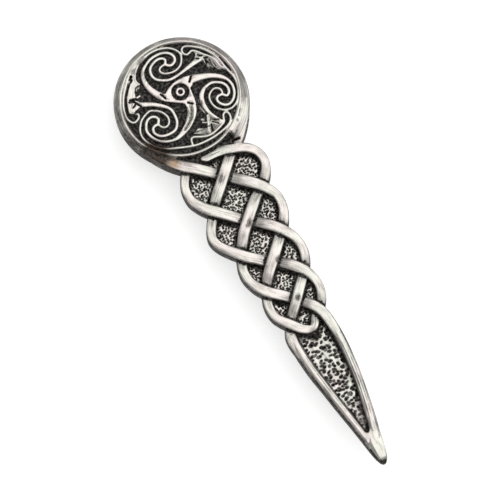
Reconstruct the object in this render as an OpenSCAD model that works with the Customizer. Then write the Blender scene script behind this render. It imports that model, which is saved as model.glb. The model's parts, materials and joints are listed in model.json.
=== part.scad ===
/* [Disc] */

// radius of the field that carries the triskele
face_r = 10; // [8:0.5:14]

// width of the rim round that field
rim_w = 3; // [2:0.25:4]

// height of the sunk ground of the field above the flat back
face_z = 3.2; // [2.4:0.1:4.5]

// height of the raised lines above the sunk ground
relief_h = 0.7; // [0.4:0.05:1.2]

// width of the thin raised lines at half their height
line_w = 0.42; // [0.3:0.02:0.6]

// height of the rim's upright outer wall
rim_wall = 2.2; // [1.2:0.1:2.4]

// chamfer round the disc's back
back_chamfer = 0.4; // [0.2:0.05:0.6]

// height of the disc outside the field, where the plait starts
seat_z = 2.6; // [2.5:0.05:2.8]

// how far the field's ground reaches outwards under the crest
ground_over = 0.9; // [0.7:0.05:1]

// angle of the rim's gap for the plait, left of straight down
gap_left = 36; // [30:1:40]

// angle of the rim's gap for the plait, right of straight down
gap_right = 28; // [22:1:32]

/* [Plait] */

// half width of the frame that the plait is drawn in, its widest loop reaching 0.9 of it
plait_half = 10; // [8:0.5:13]

// length of one turn of the plait down its middle
plait_pitch = 10; // [8:0.5:13]

// width of a strand on a straight run
strand_w = 2; // [1.4:0.1:2.6]

// height of a strand's flat top above the back
strand_top = 3; // [2.4:0.1:4]

// height of the bevel along each edge of a strand
strand_bevel = 0.55; // [0.3:0.05:0.8]

// share of a strand's width that is flat on top
strand_flat = 0.54; // [0.4:0.02:0.7]

// height of the sunk cells between the strands
cell_z = 1.6; // [1:0.1:2]

/* [Blade] */

// length of the blade from the plait's last crossing to the tip
blade_l = 29.2; // [22:0.2:40]

// half width of the blade at its widest
blade_half = 5; // [4:0.25:6.5]

// radius of the rounded tip
tip_r = 0.85; // [0.6:0.05:1.2]

/* [Pin and clasp] */

// height of the fitting under the casting
clasp_h = 4.8; // [4:0.1:6.5]

// clearance between the fitting's bar and the casting's back
seat_gap = 0.05; // [0.02:0.01:0.2]

// thickness of the bar that is soldered along the back
bar_t = 0.8; // [0.5:0.1:1.2]

// width of that bar
bar_w = 3.6; // [2.5:0.1:5]

// diameter of the pin wire
wire_d = 1.3; // [0.9:0.1:1.6]

// height of the wire's middle above the resting plane
wire_z = 1.6; // [1.2:0.1:1.9]

// how far the wire's point reaches past the catch
point_l = 2.4; // [1.5:0.1:4]

// diameter of the wire's blunted end
point_d = 0.26; // [0.2:0.02:0.4]

// width of the hinge box
hinge_w = 7; // [5.5:0.25:9]

// length of the hinge box along the pin
hinge_l = 6; // [4.5:0.25:8]

// distance of the hinge box's middle above the disc's middle
hinge_up = 2; // [0:0.5:4]

// width of the catch
catch_w = 5; // [4:0.25:6]

// length of the catch along the pin
catch_l = 4.5; // [3.5:0.25:6]

// distance of the catch's middle below the start of the blade
catch_down = 8; // [5:0.5:10]

// clearance between the wire and the catch's bore
wire_gap = 0.3; // [0.2:0.05:0.4]

/* [Hidden] */
disc_r = face_r + rim_w;
face_top = face_z + relief_h;
plait_l = 4 * plait_pitch;
overall_l = disc_r + face_r + plait_l + blade_l;
disc_y = overall_l / 2 - disc_r;
plait_y = disc_y - face_r;
blade_y = plait_y - plait_l;
back_z = clasp_h;
hinge_y = disc_y + hinge_up;
catch_y = blade_y - catch_down;
wire_end_y = catch_y - catch_l / 2 - point_l;
sink = 0.3;
tier = 0.04;
skirt = 0.3;
foot_flare = 0.09;
plait_grow = 0.36 * strand_w;
blade_grow = 0.3 * strand_w;
over = 1;
ring_fn = 72;

// The plait's four strands, from the rim down to the blade.
// Columns: across and along, as shares of plait_half and plait_pitch from the foot of the field,
// then width and height, as shares of strand_w and strand_top.
rim_strand = [
  [-1.06, 0.50, 0.90, 1.20], [-0.99, 0.36, 1.00, 1.22], [-0.88, 0.19, 1.10, 1.22],
  [-0.74, 0.00, 1.15, 1.18], [-0.58, -0.17, 1.12, 1.10], [-0.40, -0.31, 1.06, 1.03],
  [-0.23, -0.46, 1.00, 0.95], [-0.11, -0.57, 1.00, 0.84], [0.01, -0.68, 1.00, 0.78],
  [0.13, -0.79, 1.00, 0.84], [0.26, -0.91, 1.04, 0.97], [0.39, -1.04, 1.05, 1.03],
  [0.51, -1.17, 1.00, 1.03], [0.62, -1.32, 0.90, 0.98], [0.70, -1.48, 0.80, 0.95],
  [0.71, -1.64, 0.80, 0.93], [0.67, -1.81, 0.86, 0.92], [0.59, -1.96, 0.95, 0.88],
  [0.49, -2.10, 1.00, 0.79], [0.36, -2.23, 1.00, 0.86], [0.23, -2.36, 1.05, 0.97],
  [0.10, -2.49, 1.05, 1.02], [-0.03, -2.62, 1.05, 1.02], [-0.17, -2.76, 1.00, 0.94],
  [-0.28, -2.89, 0.95, 0.79], [-0.375, -3.06, 0.90, 0.78], [-0.45, -3.23, 0.85, 0.87],
  [-0.48, -3.40, 0.80, 0.93], [-0.46, -3.555, 0.80, 0.95], [-0.385, -3.69, 0.86, 0.99],
  [-0.28, -3.825, 0.90, 1.02], [-0.16, -3.97, 0.86, 1.00], [-0.03, -4.06, 0.76, 0.97],
  [0.05, -4.075, 0.70, 0.96], [0.12, -4.02, 0.72, 0.90], [0.19, -3.91, 0.75, 0.80],
  [0.29, -3.81, 0.75, 0.77]
];
top_strand = [
  [-0.22, -0.20, 0.45, 1.00], [-0.12, -0.22, 0.80, 1.00], [0.04, -0.215, 0.85, 1.01],
  [0.22, -0.235, 0.90, 1.01], [0.38, -0.29, 0.90, 1.01], [0.53, -0.34, 0.88, 1.00],
  [0.67, -0.42, 0.85, 0.98], [0.78, -0.55, 0.80, 0.96], [0.825, -0.70, 0.80, 0.95],
  [0.81, -0.84, 0.80, 0.94], [0.74, -0.98, 0.90, 0.92], [0.64, -1.10, 0.95, 0.87],
  [0.52, -1.20, 0.95, 0.79], [0.43, -1.27, 0.95, 0.78], [0.33, -1.34, 1.00, 0.86],
  [0.20, -1.46, 1.05, 0.97], [0.07, -1.58, 1.05, 1.02], [-0.06, -1.71, 1.05, 1.02],
  [-0.19, -1.84, 1.05, 0.98], [-0.30, -1.98, 1.00, 0.87], [-0.42, -2.14, 0.95, 0.77],
  [-0.495, -2.30, 0.90, 0.84], [-0.555, -2.46, 0.85, 0.92], [-0.57, -2.61, 0.85, 0.94],
  [-0.54, -2.77, 0.85, 0.97], [-0.465, -2.93, 0.95, 1.02], [-0.35, -3.08, 1.00, 1.03],
  [-0.21, -3.20, 1.00, 0.98], [-0.08, -3.31, 0.95, 0.90], [0.05, -3.44, 0.90, 0.77],
  [0.15, -3.55, 0.90, 0.87], [0.25, -3.67, 0.94, 0.98], [0.33, -3.81, 0.95, 1.02],
  [0.38, -3.96, 0.93, 0.97]
];
steep_strand = [
  [0.38, -0.30, 1.00, 0.80], [0.28, -0.40, 1.00, 0.90], [0.16, -0.52, 1.05, 1.00],
  [0.03, -0.65, 1.05, 1.02], [-0.10, -0.78, 1.05, 1.00], [-0.23, -0.90, 1.05, 0.97],
  [-0.36, -1.03, 1.00, 0.87], [-0.49, -1.18, 0.95, 0.77], [-0.60, -1.34, 0.95, 0.84],
  [-0.71, -1.50, 0.90, 0.90], [-0.77, -1.67, 0.85, 0.94], [-0.74, -1.825, 0.84, 0.96],
  [-0.64, -1.985, 0.88, 0.99], [-0.515, -2.135, 0.95, 1.03], [-0.39, -2.28, 1.05, 1.03],
  [-0.24, -2.40, 1.00, 0.98], [-0.11, -2.51, 1.00, 0.87], [0.02, -2.60, 0.95, 0.77],
  [0.14, -2.68, 0.95, 0.84], [0.26, -2.79, 1.00, 0.97], [0.37, -2.92, 1.00, 1.03],
  [0.47, -3.06, 0.90, 1.02], [0.53, -3.22, 0.80, 0.97], [0.55, -3.38, 0.76, 0.94],
  [0.52, -3.54, 0.80, 0.88], [0.45, -3.68, 0.84, 0.79], [0.36, -3.80, 0.80, 0.77]
];
left_strand = [
  [-0.56, -0.23, 0.85, 0.83], [-0.67, -0.37, 0.85, 0.92], [-0.745, -0.52, 0.80, 0.94],
  [-0.775, -0.68, 0.80, 0.95], [-0.76, -0.84, 0.85, 0.97], [-0.685, -0.99, 0.95, 1.00],
  [-0.58, -1.13, 1.04, 1.03], [-0.44, -1.27, 1.05, 1.03], [-0.29, -1.41, 1.00, 0.98],
  [-0.15, -1.54, 1.00, 0.87], [-0.01, -1.66, 0.95, 0.77], [0.12, -1.77, 0.95, 0.84],
  [0.25, -1.89, 1.00, 0.97], [0.38, -2.03, 1.00, 1.03], [0.49, -2.18, 0.95, 1.02],
  [0.58, -2.33, 0.85, 0.97], [0.625, -2.50, 0.80, 0.94], [0.625, -2.66, 0.80, 0.92],
  [0.58, -2.82, 0.85, 0.88], [0.50, -2.96, 0.90, 0.79], [0.39, -3.08, 0.90, 0.84],
  [0.27, -3.21, 0.95, 0.95], [0.14, -3.35, 0.95, 1.02], [0.02, -3.48, 0.95, 1.00],
  [-0.09, -3.59, 0.90, 0.90], [-0.20, -3.70, 0.90, 0.77], [-0.31, -3.85, 0.90, 0.80],
  [-0.38, -4.00, 0.95, 0.88]
];

// The blade's two raised borders, the left one straighter than the right one.
// Columns: along from the blade's start and across, as shares of blade_l and blade_half,
// then width and height, as shares of strand_w and strand_top.
left_border = [
  [0.00, -0.74, 0.95, 0.90], [0.10, -0.76, 0.95, 0.92], [0.20, -0.73, 0.96, 0.90],
  [0.30, -0.665, 0.94, 0.88], [0.40, -0.57, 0.90, 0.87], [0.50, -0.485, 0.86, 0.85],
  [0.60, -0.39, 0.84, 0.83], [0.70, -0.29, 0.82, 0.81], [0.80, -0.205, 0.80, 0.80],
  [0.90, -0.14, 0.75, 0.78], [0.96, -0.07, 0.65, 0.75]
];
right_border = [
  [0.00, 0.78, 0.95, 0.90], [0.10, 0.82, 0.95, 0.92], [0.20, 0.81, 0.93, 0.90],
  [0.30, 0.765, 0.92, 0.88], [0.40, 0.70, 0.90, 0.87], [0.50, 0.605, 0.88, 0.85],
  [0.60, 0.485, 0.95, 0.83], [0.70, 0.35, 1.02, 0.81], [0.80, 0.22, 1.00, 0.80],
  [0.90, 0.155, 0.75, 0.78], [0.96, 0.08, 0.65, 0.75]
];

// The raised lines of the field, from the heads of the three motifs into the spirals.
// Columns: across and up from the disc's middle, and the line's width where it isn't line_w,
// all as shares of face_r.
right_line = [
  [0.955, 0.26], [0.95, 0.30], [0.94, 0.38], [0.90, 0.47], [0.85, 0.535],
  [0.79, 0.60], [0.73, 0.68], [0.68, 0.735], [0.63, 0.77], [0.58, 0.755], [0.52, 0.74],
  [0.475, 0.77], [0.46, 0.825], [0.475, 0.88], [0.52, 0.91], [0.57, 0.90], [0.64, 0.865],
  [0.71, 0.815], [0.78, 0.76], [0.85, 0.685], [0.91, 0.595], [0.96, 0.50], [1.00, 0.39],
  [1.02, 0.28], [1.035, 0.17, 0.07], [1.065, 0.05, 0.06], [1.09, -0.06], [1.09, -0.16],
  [1.07, -0.26], [1.025, -0.375], [0.97, -0.47], [0.91, -0.535], [0.84, -0.58],
  [0.76, -0.605], [0.69, -0.60], [0.62, -0.575], [0.56, -0.53], [0.51, -0.475],
  [0.48, -0.41], [0.465, -0.335], [0.47, -0.26], [0.49, -0.20], [0.535, -0.15],
  [0.59, -0.12], [0.64, -0.105], [0.685, -0.115], [0.725, -0.145], [0.75, -0.19],
  [0.75, -0.235], [0.73, -0.275]
];
low_line = [
  [-0.235, -0.855], [-0.225, -0.815], [-0.19, -0.77], [-0.13, -0.78], [-0.05, -0.82],
  [0.03, -0.855], [0.12, -0.88], [0.22, -0.875], [0.32, -0.85], [0.42, -0.815],
  [0.50, -0.775], [0.525, -0.71], [0.55, -0.65], [0.60, -0.62], [0.645, -0.645],
  [0.66, -0.70], [0.645, -0.77], [0.60, -0.83], [0.53, -0.875], [0.44, -0.905],
  [0.33, -0.93], [0.20, -0.95], [0.07, -0.955], [-0.06, -0.95], [-0.18, -0.935],
  [-0.30, -0.90], [-0.41, -0.86], [-0.52, -0.815], [-0.63, -0.77], [-0.72, -0.725],
  [-0.81, -0.66], [-0.88, -0.585], [-0.94, -0.50], [-0.985, -0.41], [-1.005, -0.32],
  [-1.00, -0.23], [-0.97, -0.15], [-0.92, -0.075], [-0.86, -0.01], [-0.785, 0.035],
  [-0.71, 0.065], [-0.635, 0.08], [-0.56, 0.045], [-0.495, 0.00], [-0.44, -0.065],
  [-0.405, -0.14], [-0.395, -0.21], [-0.415, -0.28], [-0.46, -0.33], [-0.52, -0.345],
  [-0.58, -0.315], [-0.61, -0.265], [-0.62, -0.23]
];
left_line = [
  [-0.80, 0.63], [-0.84, 0.58], [-0.89, 0.49], [-0.93, 0.40],
  [-0.96, 0.31], [-0.98, 0.23], [-0.95, 0.19], [-0.895, 0.16], [-0.86, 0.125],
  [-0.875, 0.075], [-0.925, 0.035], [-0.99, 0.015], [-1.04, 0.04], [-1.075, 0.10],
  [-1.09, 0.17], [-1.075, 0.28], [-1.04, 0.39], [-0.99, 0.49, 0.05], [-0.93, 0.59, 0.06],
  [-0.86, 0.68, 0.07], [-0.79, 0.76, 0.075], [-0.71, 0.85, 0.08], [-0.62, 0.93, 0.09],
  [-0.52, 0.99, 0.09], [-0.42, 1.03, 0.08], [-0.32, 1.055, 0.07], [-0.22, 1.08, 0.055],
  [-0.12, 1.10], [-0.02, 1.105], [0.08, 1.095], [0.17, 1.07], [0.25, 1.035], [0.32, 0.98],
  [0.37, 0.92], [0.40, 0.86], [0.41, 0.805], [0.395, 0.745], [0.36, 0.68], [0.31, 0.62],
  [0.24, 0.58], [0.16, 0.56], [0.08, 0.565], [0.01, 0.585], [-0.05, 0.615], [-0.09, 0.66],
  [-0.095, 0.71], [-0.06, 0.75], [0.00, 0.765], [0.05, 0.77]
];

// The short forks where each of those lines leaves its own far end, in the same columns.
right_fork = [[1.02, 0.165], [0.968, 0.22], [0.955, 0.28]];
low_fork = [[-0.24, -0.91], [-0.235, -0.86], [-0.22, -0.81]];
left_fork = [[-0.69, 0.79], [-0.72, 0.72], [-0.775, 0.66], [-0.815, 0.61]];

// The three arms, from the body of the triskele into the spirals, in the same columns.
left_arm = [
  [-0.29, 0.20, 0.15], [-0.34, 0.28, 0.14], [-0.39, 0.37, 0.13], [-0.43, 0.47, 0.115],
  [-0.45, 0.57, 0.10], [-0.45, 0.66, 0.09], [-0.435, 0.74, 0.075], [-0.40, 0.82, 0.065],
  [-0.34, 0.885, 0.06], [-0.26, 0.935, 0.05], [-0.17, 0.98], [-0.08, 1.00], [0.02, 1.005],
  [0.10, 0.995], [0.18, 0.96], [0.24, 0.91], [0.27, 0.85], [0.275, 0.795], [0.25, 0.74],
  [0.20, 0.705], [0.15, 0.695], [0.10, 0.715], [0.07, 0.745], [0.055, 0.76]
];
right_arm = [
  [0.26, 0.26, 0.18], [0.36, 0.265, 0.165], [0.46, 0.245, 0.14], [0.56, 0.215, 0.115],
  [0.66, 0.18, 0.10], [0.75, 0.135, 0.09], [0.83, 0.08, 0.08], [0.90, 0.015, 0.07],
  [0.95, -0.06, 0.055], [0.975, -0.13], [0.985, -0.21], [0.97, -0.295], [0.935, -0.38],
  [0.88, -0.45], [0.815, -0.495], [0.75, -0.515], [0.69, -0.50], [0.64, -0.465],
  [0.60, -0.41], [0.585, -0.35], [0.60, -0.30], [0.64, -0.275], [0.69, -0.275],
  [0.735, -0.28]
];
low_arm = [
  [0.115, -0.08, 0.20], [0.11, -0.17, 0.20], [0.085, -0.26, 0.19], [0.035, -0.35, 0.17],
  [-0.04, -0.43, 0.15], [-0.13, -0.51, 0.13], [-0.23, -0.57, 0.11], [-0.33, -0.615, 0.085],
  [-0.43, -0.645, 0.06], [-0.53, -0.64, 0.05], [-0.62, -0.615], [-0.69, -0.58],
  [-0.76, -0.53], [-0.815, -0.46], [-0.855, -0.38], [-0.875, -0.30], [-0.875, -0.23],
  [-0.85, -0.17], [-0.815, -0.11], [-0.76, -0.06], [-0.69, -0.04], [-0.63, -0.055],
  [-0.585, -0.095], [-0.57, -0.14], [-0.595, -0.19], [-0.625, -0.225]
];

// The three necks, from the spirals' middles to the heads, in the same columns.
top_neck = [
  [0.045, 0.765], [0.08, 0.80], [0.10, 0.845], [0.08, 0.88], [0.03, 0.91], [-0.03, 0.92],
  [-0.10, 0.905], [-0.17, 0.875], [-0.225, 0.835], [-0.26, 0.78], [-0.275, 0.715],
  [-0.27, 0.65], [-0.245, 0.59], [-0.20, 0.545], [-0.14, 0.505], [-0.07, 0.47],
  [0.01, 0.45], [0.10, 0.45], [0.20, 0.46], [0.30, 0.48, 0.05], [0.40, 0.50, 0.06],
  [0.50, 0.52, 0.075], [0.60, 0.54, 0.085], [0.70, 0.55, 0.08]
];
right_neck = [
  [0.725, -0.27], [0.76, -0.32], [0.795, -0.35], [0.835, -0.33], [0.87, -0.29],
  [0.885, -0.23], [0.88, -0.17], [0.855, -0.11], [0.81, -0.06], [0.75, -0.02], [0.69, 0.01],
  [0.63, 0.02], [0.56, 0.01, 0.045], [0.49, -0.01, 0.05], [0.43, -0.05, 0.065],
  [0.375, -0.105, 0.07], [0.34, -0.18, 0.07], [0.32, -0.27, 0.065], [0.32, -0.36, 0.055],
  [0.33, -0.45, 0.05], [0.36, -0.54, 0.05], [0.40, -0.62], [0.435, -0.70], [0.48, -0.76]
];
low_neck = [
  [-0.615, -0.235], [-0.67, -0.225], [-0.725, -0.24], [-0.76, -0.28], [-0.77, -0.34],
  [-0.745, -0.40], [-0.70, -0.45], [-0.63, -0.485], [-0.55, -0.50], [-0.46, -0.50],
  [-0.38, -0.475], [-0.32, -0.415], [-0.28, -0.34], [-0.265, -0.26], [-0.26, -0.17],
  [-0.27, -0.09], [-0.31, -0.02, 0.05], [-0.37, 0.045, 0.055], [-0.44, 0.105, 0.06],
  [-0.52, 0.165, 0.065], [-0.60, 0.21, 0.07], [-0.68, 0.25, 0.075], [-0.75, 0.29, 0.07]
];

// The edge of the broad wing at the upper left, in the same columns.
wing_edge = [
  [-0.39, 1.01], [-0.46, 0.95], [-0.52, 0.89], [-0.57, 0.82], [-0.595, 0.75],
  [-0.585, 0.68], [-0.56, 0.63]
];

// The crest inside the rim. Columns: angle in degrees, and its radius as a share of disc_r.
crest_rows = [
  [0, 0.888], [45, 0.895], [90, 0.897], [135, 0.89], [170, 0.905], [200, 0.90], [220, 0.87],
  [250, 0.858], [270, 0.845], [300, 0.838], [320, 0.845], [340, 0.868], [360, 0.888]
];

// Outlines of the flat raised parts, as shares of face_r from the disc's middle.
body_outline = [
  [-0.36, 0.30], [-0.22, 0.245], [-0.12, 0.31], [0.00, 0.36], [0.12, 0.375], [0.25, 0.375],
  [0.37, 0.345], [0.33, 0.155], [0.255, 0.12], [0.24, 0.00], [0.23, -0.10], [0.20, -0.22],
  [0.01, -0.20], [0.01, -0.12], [-0.02, -0.08], [-0.10, -0.03], [-0.20, 0.04], [-0.29, 0.10],
  [-0.36, 0.18]
];
wing_outline = [
  [-0.62, 0.89], [-0.52, 0.93], [-0.565, 0.85], [-0.60, 0.77], [-0.58, 0.69], [-0.57, 0.64],
  [-0.62, 0.63], [-0.66, 0.62], [-0.71, 0.55], [-0.73, 0.48], [-0.76, 0.44], [-0.86, 0.46],
  [-0.89, 0.50], [-0.83, 0.60], [-0.77, 0.67], [-0.71, 0.73], [-0.66, 0.78], [-0.65, 0.83]
];
left_head = [
  [-0.96, 0.22], [-0.94, 0.32], [-0.91, 0.41], [-0.83, 0.39], [-0.79, 0.34], [-0.74, 0.24],
  [-0.83, 0.22], [-0.90, 0.20]
];
right_head = [
  [0.63, 0.775], [0.68, 0.76], [0.73, 0.70], [0.78, 0.63], [0.81, 0.57], [0.76, 0.55],
  [0.71, 0.55], [0.65, 0.59], [0.63, 0.63], [0.66, 0.69]
];
right_wing = [
  [0.74, 0.55], [0.84, 0.53], [0.90, 0.46], [0.94, 0.37], [0.95, 0.29], [0.97, 0.215],
  [1.03, 0.15], [1.03, 0.10], [0.96, 0.17], [0.90, 0.19], [0.87, 0.26], [0.83, 0.36],
  [0.80, 0.45], [0.74, 0.50]
];
low_wing = [
  [0.20, -0.62], [0.29, -0.52], [0.36, -0.56], [0.42, -0.69], [0.48, -0.77], [0.40, -0.81],
  [0.25, -0.86], [0.13, -0.86], [0.05, -0.83], [-0.04, -0.77], [-0.13, -0.71],
  [0.00, -0.65], [0.09, -0.70], [0.18, -0.73]
];

// Section of the rim's slope, from its outer wall up to the crest.
// Columns: out from the field's edge, as a share of rim_w, and up, as a share of face_top.
slope_rows = [[0.85, 0.79], [0.67, 0.95], [0.48, 1.01], [0.38, 0.88]];

// The solid roof of the blade's point. Columns: along from the blade's start, as a share of the
// way to the middle of the rounded tip, then radius and height, as shares of tip_r and strand_top.
roof_rows = [[1, 1, 0.62], [0.845, 1.41, 0.70], [0.865, 0.235, 0.80]];

// The short crossing bars on the necks. Columns: across and up of each end, as shares of face_r.
bar_rows = [
  [0.12, -0.59, 0.24, -0.68], [0.29, -0.50, 0.15, -0.82], [0.29, -0.66, 0.46, -0.79],
  [0.74, 0.55, 0.72, 0.40], [0.62, 0.63, 0.74, 0.54], [0.75, 0.64, 0.81, 0.55],
  [-0.74, 0.43, -0.65, 0.44], [-0.91, 0.29, -0.83, 0.36], [-0.80, 0.39, -0.72, 0.305]
];

// The boss in the triskele's middle, as shares of face_r.
boss_at = [0.05, 0.14];
boss_moat_r = 0.165;
boss_r = 0.095;
boss_hole_r = 0.038;

// The three slots round the boss. Columns: across, up, length, width and turn in degrees.
slot_rows = [
  [-0.265, 0.22, 0.08, 0.028, 105], [0.325, 0.285, 0.08, 0.03, 50],
  [0.105, -0.145, 0.08, 0.03, -42]
];

// part of a table, as plain points
function rows(table, first, last) = [for (i = [first:last]) [table[i][0], table[i][1]]];

// places of a plait table in millimetres: across, along, width and height
function plait_path(table) = [
  for (p = table) [p[0] * plait_half, plait_y + p[1] * plait_pitch, p[2] * strand_w, p[3] * strand_top]
];

// places of one of the blade's borders in millimetres
function border_path(table) = [
  for (p = table)
    [p[1] * blade_half, blade_y - p[0] * blade_l, p[2] * strand_w, p[3] * strand_top]
];

// places of a line of the field in millimetres
function face_path(table, top) = [
  for (p = table)
    [p[0] * face_r, disc_y + p[1] * face_r, len(p) > 2 ? p[2] * face_r : line_w, top]
];

// places of the crest in millimetres
function crest_path() = [
  for (i = [0:ring_fn - 1])
    let (a = 360 * i / ring_fn, r = disc_r * lookup(a, crest_rows))
      [r * cos(a), disc_y + r * sin(a), line_w, face_top + 0.1]
];

// direction across a path at one of its places
function across(path, i, closed) =
  let (
    n = len(path),
    before = closed ? path[(i + n - 1) % n] : path[max(i - 1, 0)],
    after = closed ? path[(i + 1) % n] : path[min(i + 1, n - 1)],
    run = [after[0] - before[0], after[1] - before[1]]
  )
    [run[1], -run[0]] / norm(run);

// corners of a band's section: a flat top, a bevel down each edge and upright sides
function band_section(w, top, floor_z) = [
  [-w / 2, floor_z], [-w / 2, top - strand_bevel], [-w / 2 * strand_flat, top],
  [w / 2 * strand_flat, top], [w / 2, top - strand_bevel], [w / 2, floor_z]
];

// corners of a thin line's section, flared at its foot
function line_section(w, top, floor_z) = [
  [-w / 2 - foot_flare, floor_z], [-w / 2 + foot_flare, top], [w / 2 - foot_flare, top],
  [w / 2 + foot_flare, floor_z]
];

// a solid run along a path, with a thin line's or a band's section
module run(path, floor_z, band = false, closed = false) {
  n = len(path);
  sections = [
    for (p = path) band ? band_section(p[2], p[3], floor_z) : line_section(p[2], p[3], floor_z)
  ];
  m = len(sections[0]);
  corners = [
    for (i = [0:n - 1])
      let (side = across(path, i, closed))
        for (c = sections[i]) [path[i][0] + side[0] * c[0], path[i][1] + side[1] * c[0], c[1]]
  ];
  skin = [
    for (i = [0:closed ? n - 1 : n - 2], k = [0:m - 1])
      let (a = i * m + k, b = i * m + (k + 1) % m, c = ((i + 1) % n) * m + (k + 1) % m,
           d = ((i + 1) % n) * m + k)
        each [[a, c, b], [a, d, c]]
  ];
  ends = closed ? [] : [[for (k = [0:m - 1]) k], [for (k = [m - 1:-1:0]) (n - 1) * m + k]];
  polyhedron(points = corners, faces = concat(skin, ends));
}

// the disc's body: a plate, sunk below its field outside the crest
module disc_body() {
  translate([0, disc_y, 0])
    rotate_extrude($fn = ring_fn)
      polygon([
        [0, 0], [disc_r - back_chamfer, 0], [disc_r, back_chamfer], [disc_r, rim_wall],
        [disc_r - sink, seat_z], [face_r + ground_over + foot_flare, seat_z],
        [face_r + ground_over, face_z], [0, face_z]
      ]);
}

// the rim's slope from the crest down to the outer wall, open where the plait starts
module rim_slope() {
  translate([0, disc_y, 0])
    rotate([0, 0, gap_right - 90])
      rotate_extrude(angle = 360 - gap_left - gap_right, $fn = ring_fn)
        polygon(concat(
          [[face_r + sink, cell_z], [disc_r - sink, cell_z], [disc_r, rim_wall]],
          [for (p = slope_rows) [face_r + p[0] * rim_w, p[1] * face_top]]
        ));
}

// a flat raised part of the field
module raised(outline, top) {
  translate([0, disc_y, face_z - sink])
    linear_extrude(top - face_z + sink)
      polygon([for (p = outline) p * face_r]);
}

// the triskele's body, with the moat of the boss and three slots left open
module triskele_body() {
  translate([0, disc_y, face_z - sink])
    linear_extrude(relief_h + sink + tier)
      difference() {
        polygon([for (p = body_outline) p * face_r]);
        translate(boss_at * face_r)
          circle(boss_moat_r * face_r, $fn = 32);
        for (s = slot_rows)
          translate([s[0], s[1]] * face_r)
            rotate(s[4])
              scale([s[2], s[3]] * face_r)
                circle(0.5, $fn = 12);
      }
  translate([boss_at[0] * face_r, disc_y + boss_at[1] * face_r, face_z - sink])
    linear_extrude(relief_h + sink)
      difference() {
        circle(boss_r * face_r, $fn = 28);
        circle(boss_hole_r * face_r, $fn = 16);
      }
}

// the short crossing bars, each the hull of its two ends
module crossing_bars() {
  for (b = bar_rows)
    hull()
      for (end = [[b[0], b[1]], [b[2], b[3]]])
        translate([end[0] * face_r, disc_y + end[1] * face_r, face_z - sink])
          cylinder(
            d1 = line_w + 2 * foot_flare, d2 = line_w - foot_flare, h = relief_h + sink / 2, $fn = 8
          );
}

// the sunk ground under the plait, its edge just inside the outer loops' walls
module plait_ground() {
  left = concat(
    rows(left_strand, 0, 6), rows(steep_strand, 8, 13), rows(top_strand, 21, 25),
    rows(rim_strand, 25, 30), rows(left_strand, 26, 27)
  );
  right = concat(
    rows(top_strand, 5, 11), rows(rim_strand, 13, 17), rows(left_strand, 14, 18),
    rows(steep_strand, 21, 25), rows(top_strand, 32, 33)
  );
  linear_extrude(cell_z)
    offset(delta = plait_grow)
      polygon([
        for (p = concat([for (i = [len(left) - 1:-1:0]) left[i]], right))
          [p[0] * plait_half, plait_y + p[1] * plait_pitch]
      ]);
}

// the sunk ground of the blade, and the solid roof of its point
module blade_ground() {
  left = border_path(left_border);
  right = border_path(right_border);
  linear_extrude(cell_z - tier)
    offset(delta = blade_grow)
      polygon([for (p = concat(left, [for (i = [len(right) - 1:-1:0]) right[i]])) [p[0], p[1]]]);
  hull()
    for (p = roof_rows)
      translate([0, blade_y - p[0] * (blade_l - tip_r), 0])
        cylinder(r = p[1] * tip_r, h = p[2] * strand_top, $fn = 20);
}

// the pewter casting in one piece: disc, rim, triskele, plait and blade
module casting() {
  color("silver")
    translate([0, 0, back_z]) {
      disc_body();
      rim_slope();
      run(crest_path(), face_z - sink, closed = true);
      for (line = [right_line, low_line, left_line])
        run(face_path(line, face_top - tier), face_z - sink);
      for (line = [right_fork, low_fork, left_fork])
        run(face_path(line, face_top - 5 * tier), face_z - sink - 5 * tier);
      for (line = [left_arm, right_arm, low_arm])
        run(face_path(line, face_top), face_z - sink - tier);
      for (line = [top_neck, right_neck, low_neck])
        run(face_path(line, face_top - 2 * tier), face_z - sink - 2 * tier);
      run(face_path(wing_edge, face_top - 3 * tier), face_z - sink - 3 * tier);
      triskele_body();
      for (outline = [wing_outline, left_head, right_head])
        raised(outline, face_top - 4 * tier);
      for (outline = [right_wing, low_wing])
        raised(outline, face_z + relief_h / 2);
      crossing_bars();
      plait_ground();
      for (strand = [rim_strand, top_strand, steep_strand, left_strand])
        run(plait_path(strand), skirt, band = true);
      blade_ground();
      for (border = [left_border, right_border])
        run(border_path(border), skirt, band = true);
    }
}

// the steel fitting soldered to the back: bar, hinge box, pin wire and catch
module pin_clasp() {
  color("gray")
    difference() {
      union() {
        translate([-bar_w / 2, catch_y - catch_l / 2, clasp_h - seat_gap - bar_t])
          cube([bar_w, hinge_y - catch_y + catch_l / 2, bar_t]);
        translate([-hinge_w / 2, hinge_y - hinge_l / 2, 0])
          cube([hinge_w, hinge_l, clasp_h - seat_gap]);
        difference() {
          translate([-catch_w / 2, catch_y - catch_l / 2, 0])
            cube([catch_w, catch_l, clasp_h - seat_gap]);
          translate([0, catch_y + catch_l, wire_z])
            rotate([90, 0, 0])
              cylinder(d = wire_d + 2 * wire_gap, h = 2 * catch_l, $fn = 48);
          translate([0, catch_y - catch_l, wire_z - wire_d / 2 - wire_gap])
            cube([catch_w, 2 * catch_l, wire_d + 2 * wire_gap]);
        }
        translate([0, hinge_y, wire_z])
          rotate([90, 0, 0])
            cylinder(d = wire_d, h = hinge_y - wire_end_y - point_l, $fn = 48);
        translate([0, wire_end_y + point_l, wire_z])
          rotate([90, 0, 0])
            cylinder(d1 = wire_d, d2 = point_d, h = point_l, $fn = 48);
      }
      translate([0, hinge_y - hinge_l / 2 + wire_d, wire_z])
        rotate([90, 0, 0])
          difference() {
            cylinder(d = 2 * wire_d, h = 2 * wire_d, $fn = 48);
            translate([0, 0, -over])
              cylinder(d = wire_d, h = 2 * wire_d + 2 * over, $fn = 48);
          }
    }
}

casting();
pin_clasp();
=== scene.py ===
import json
import math

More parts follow.
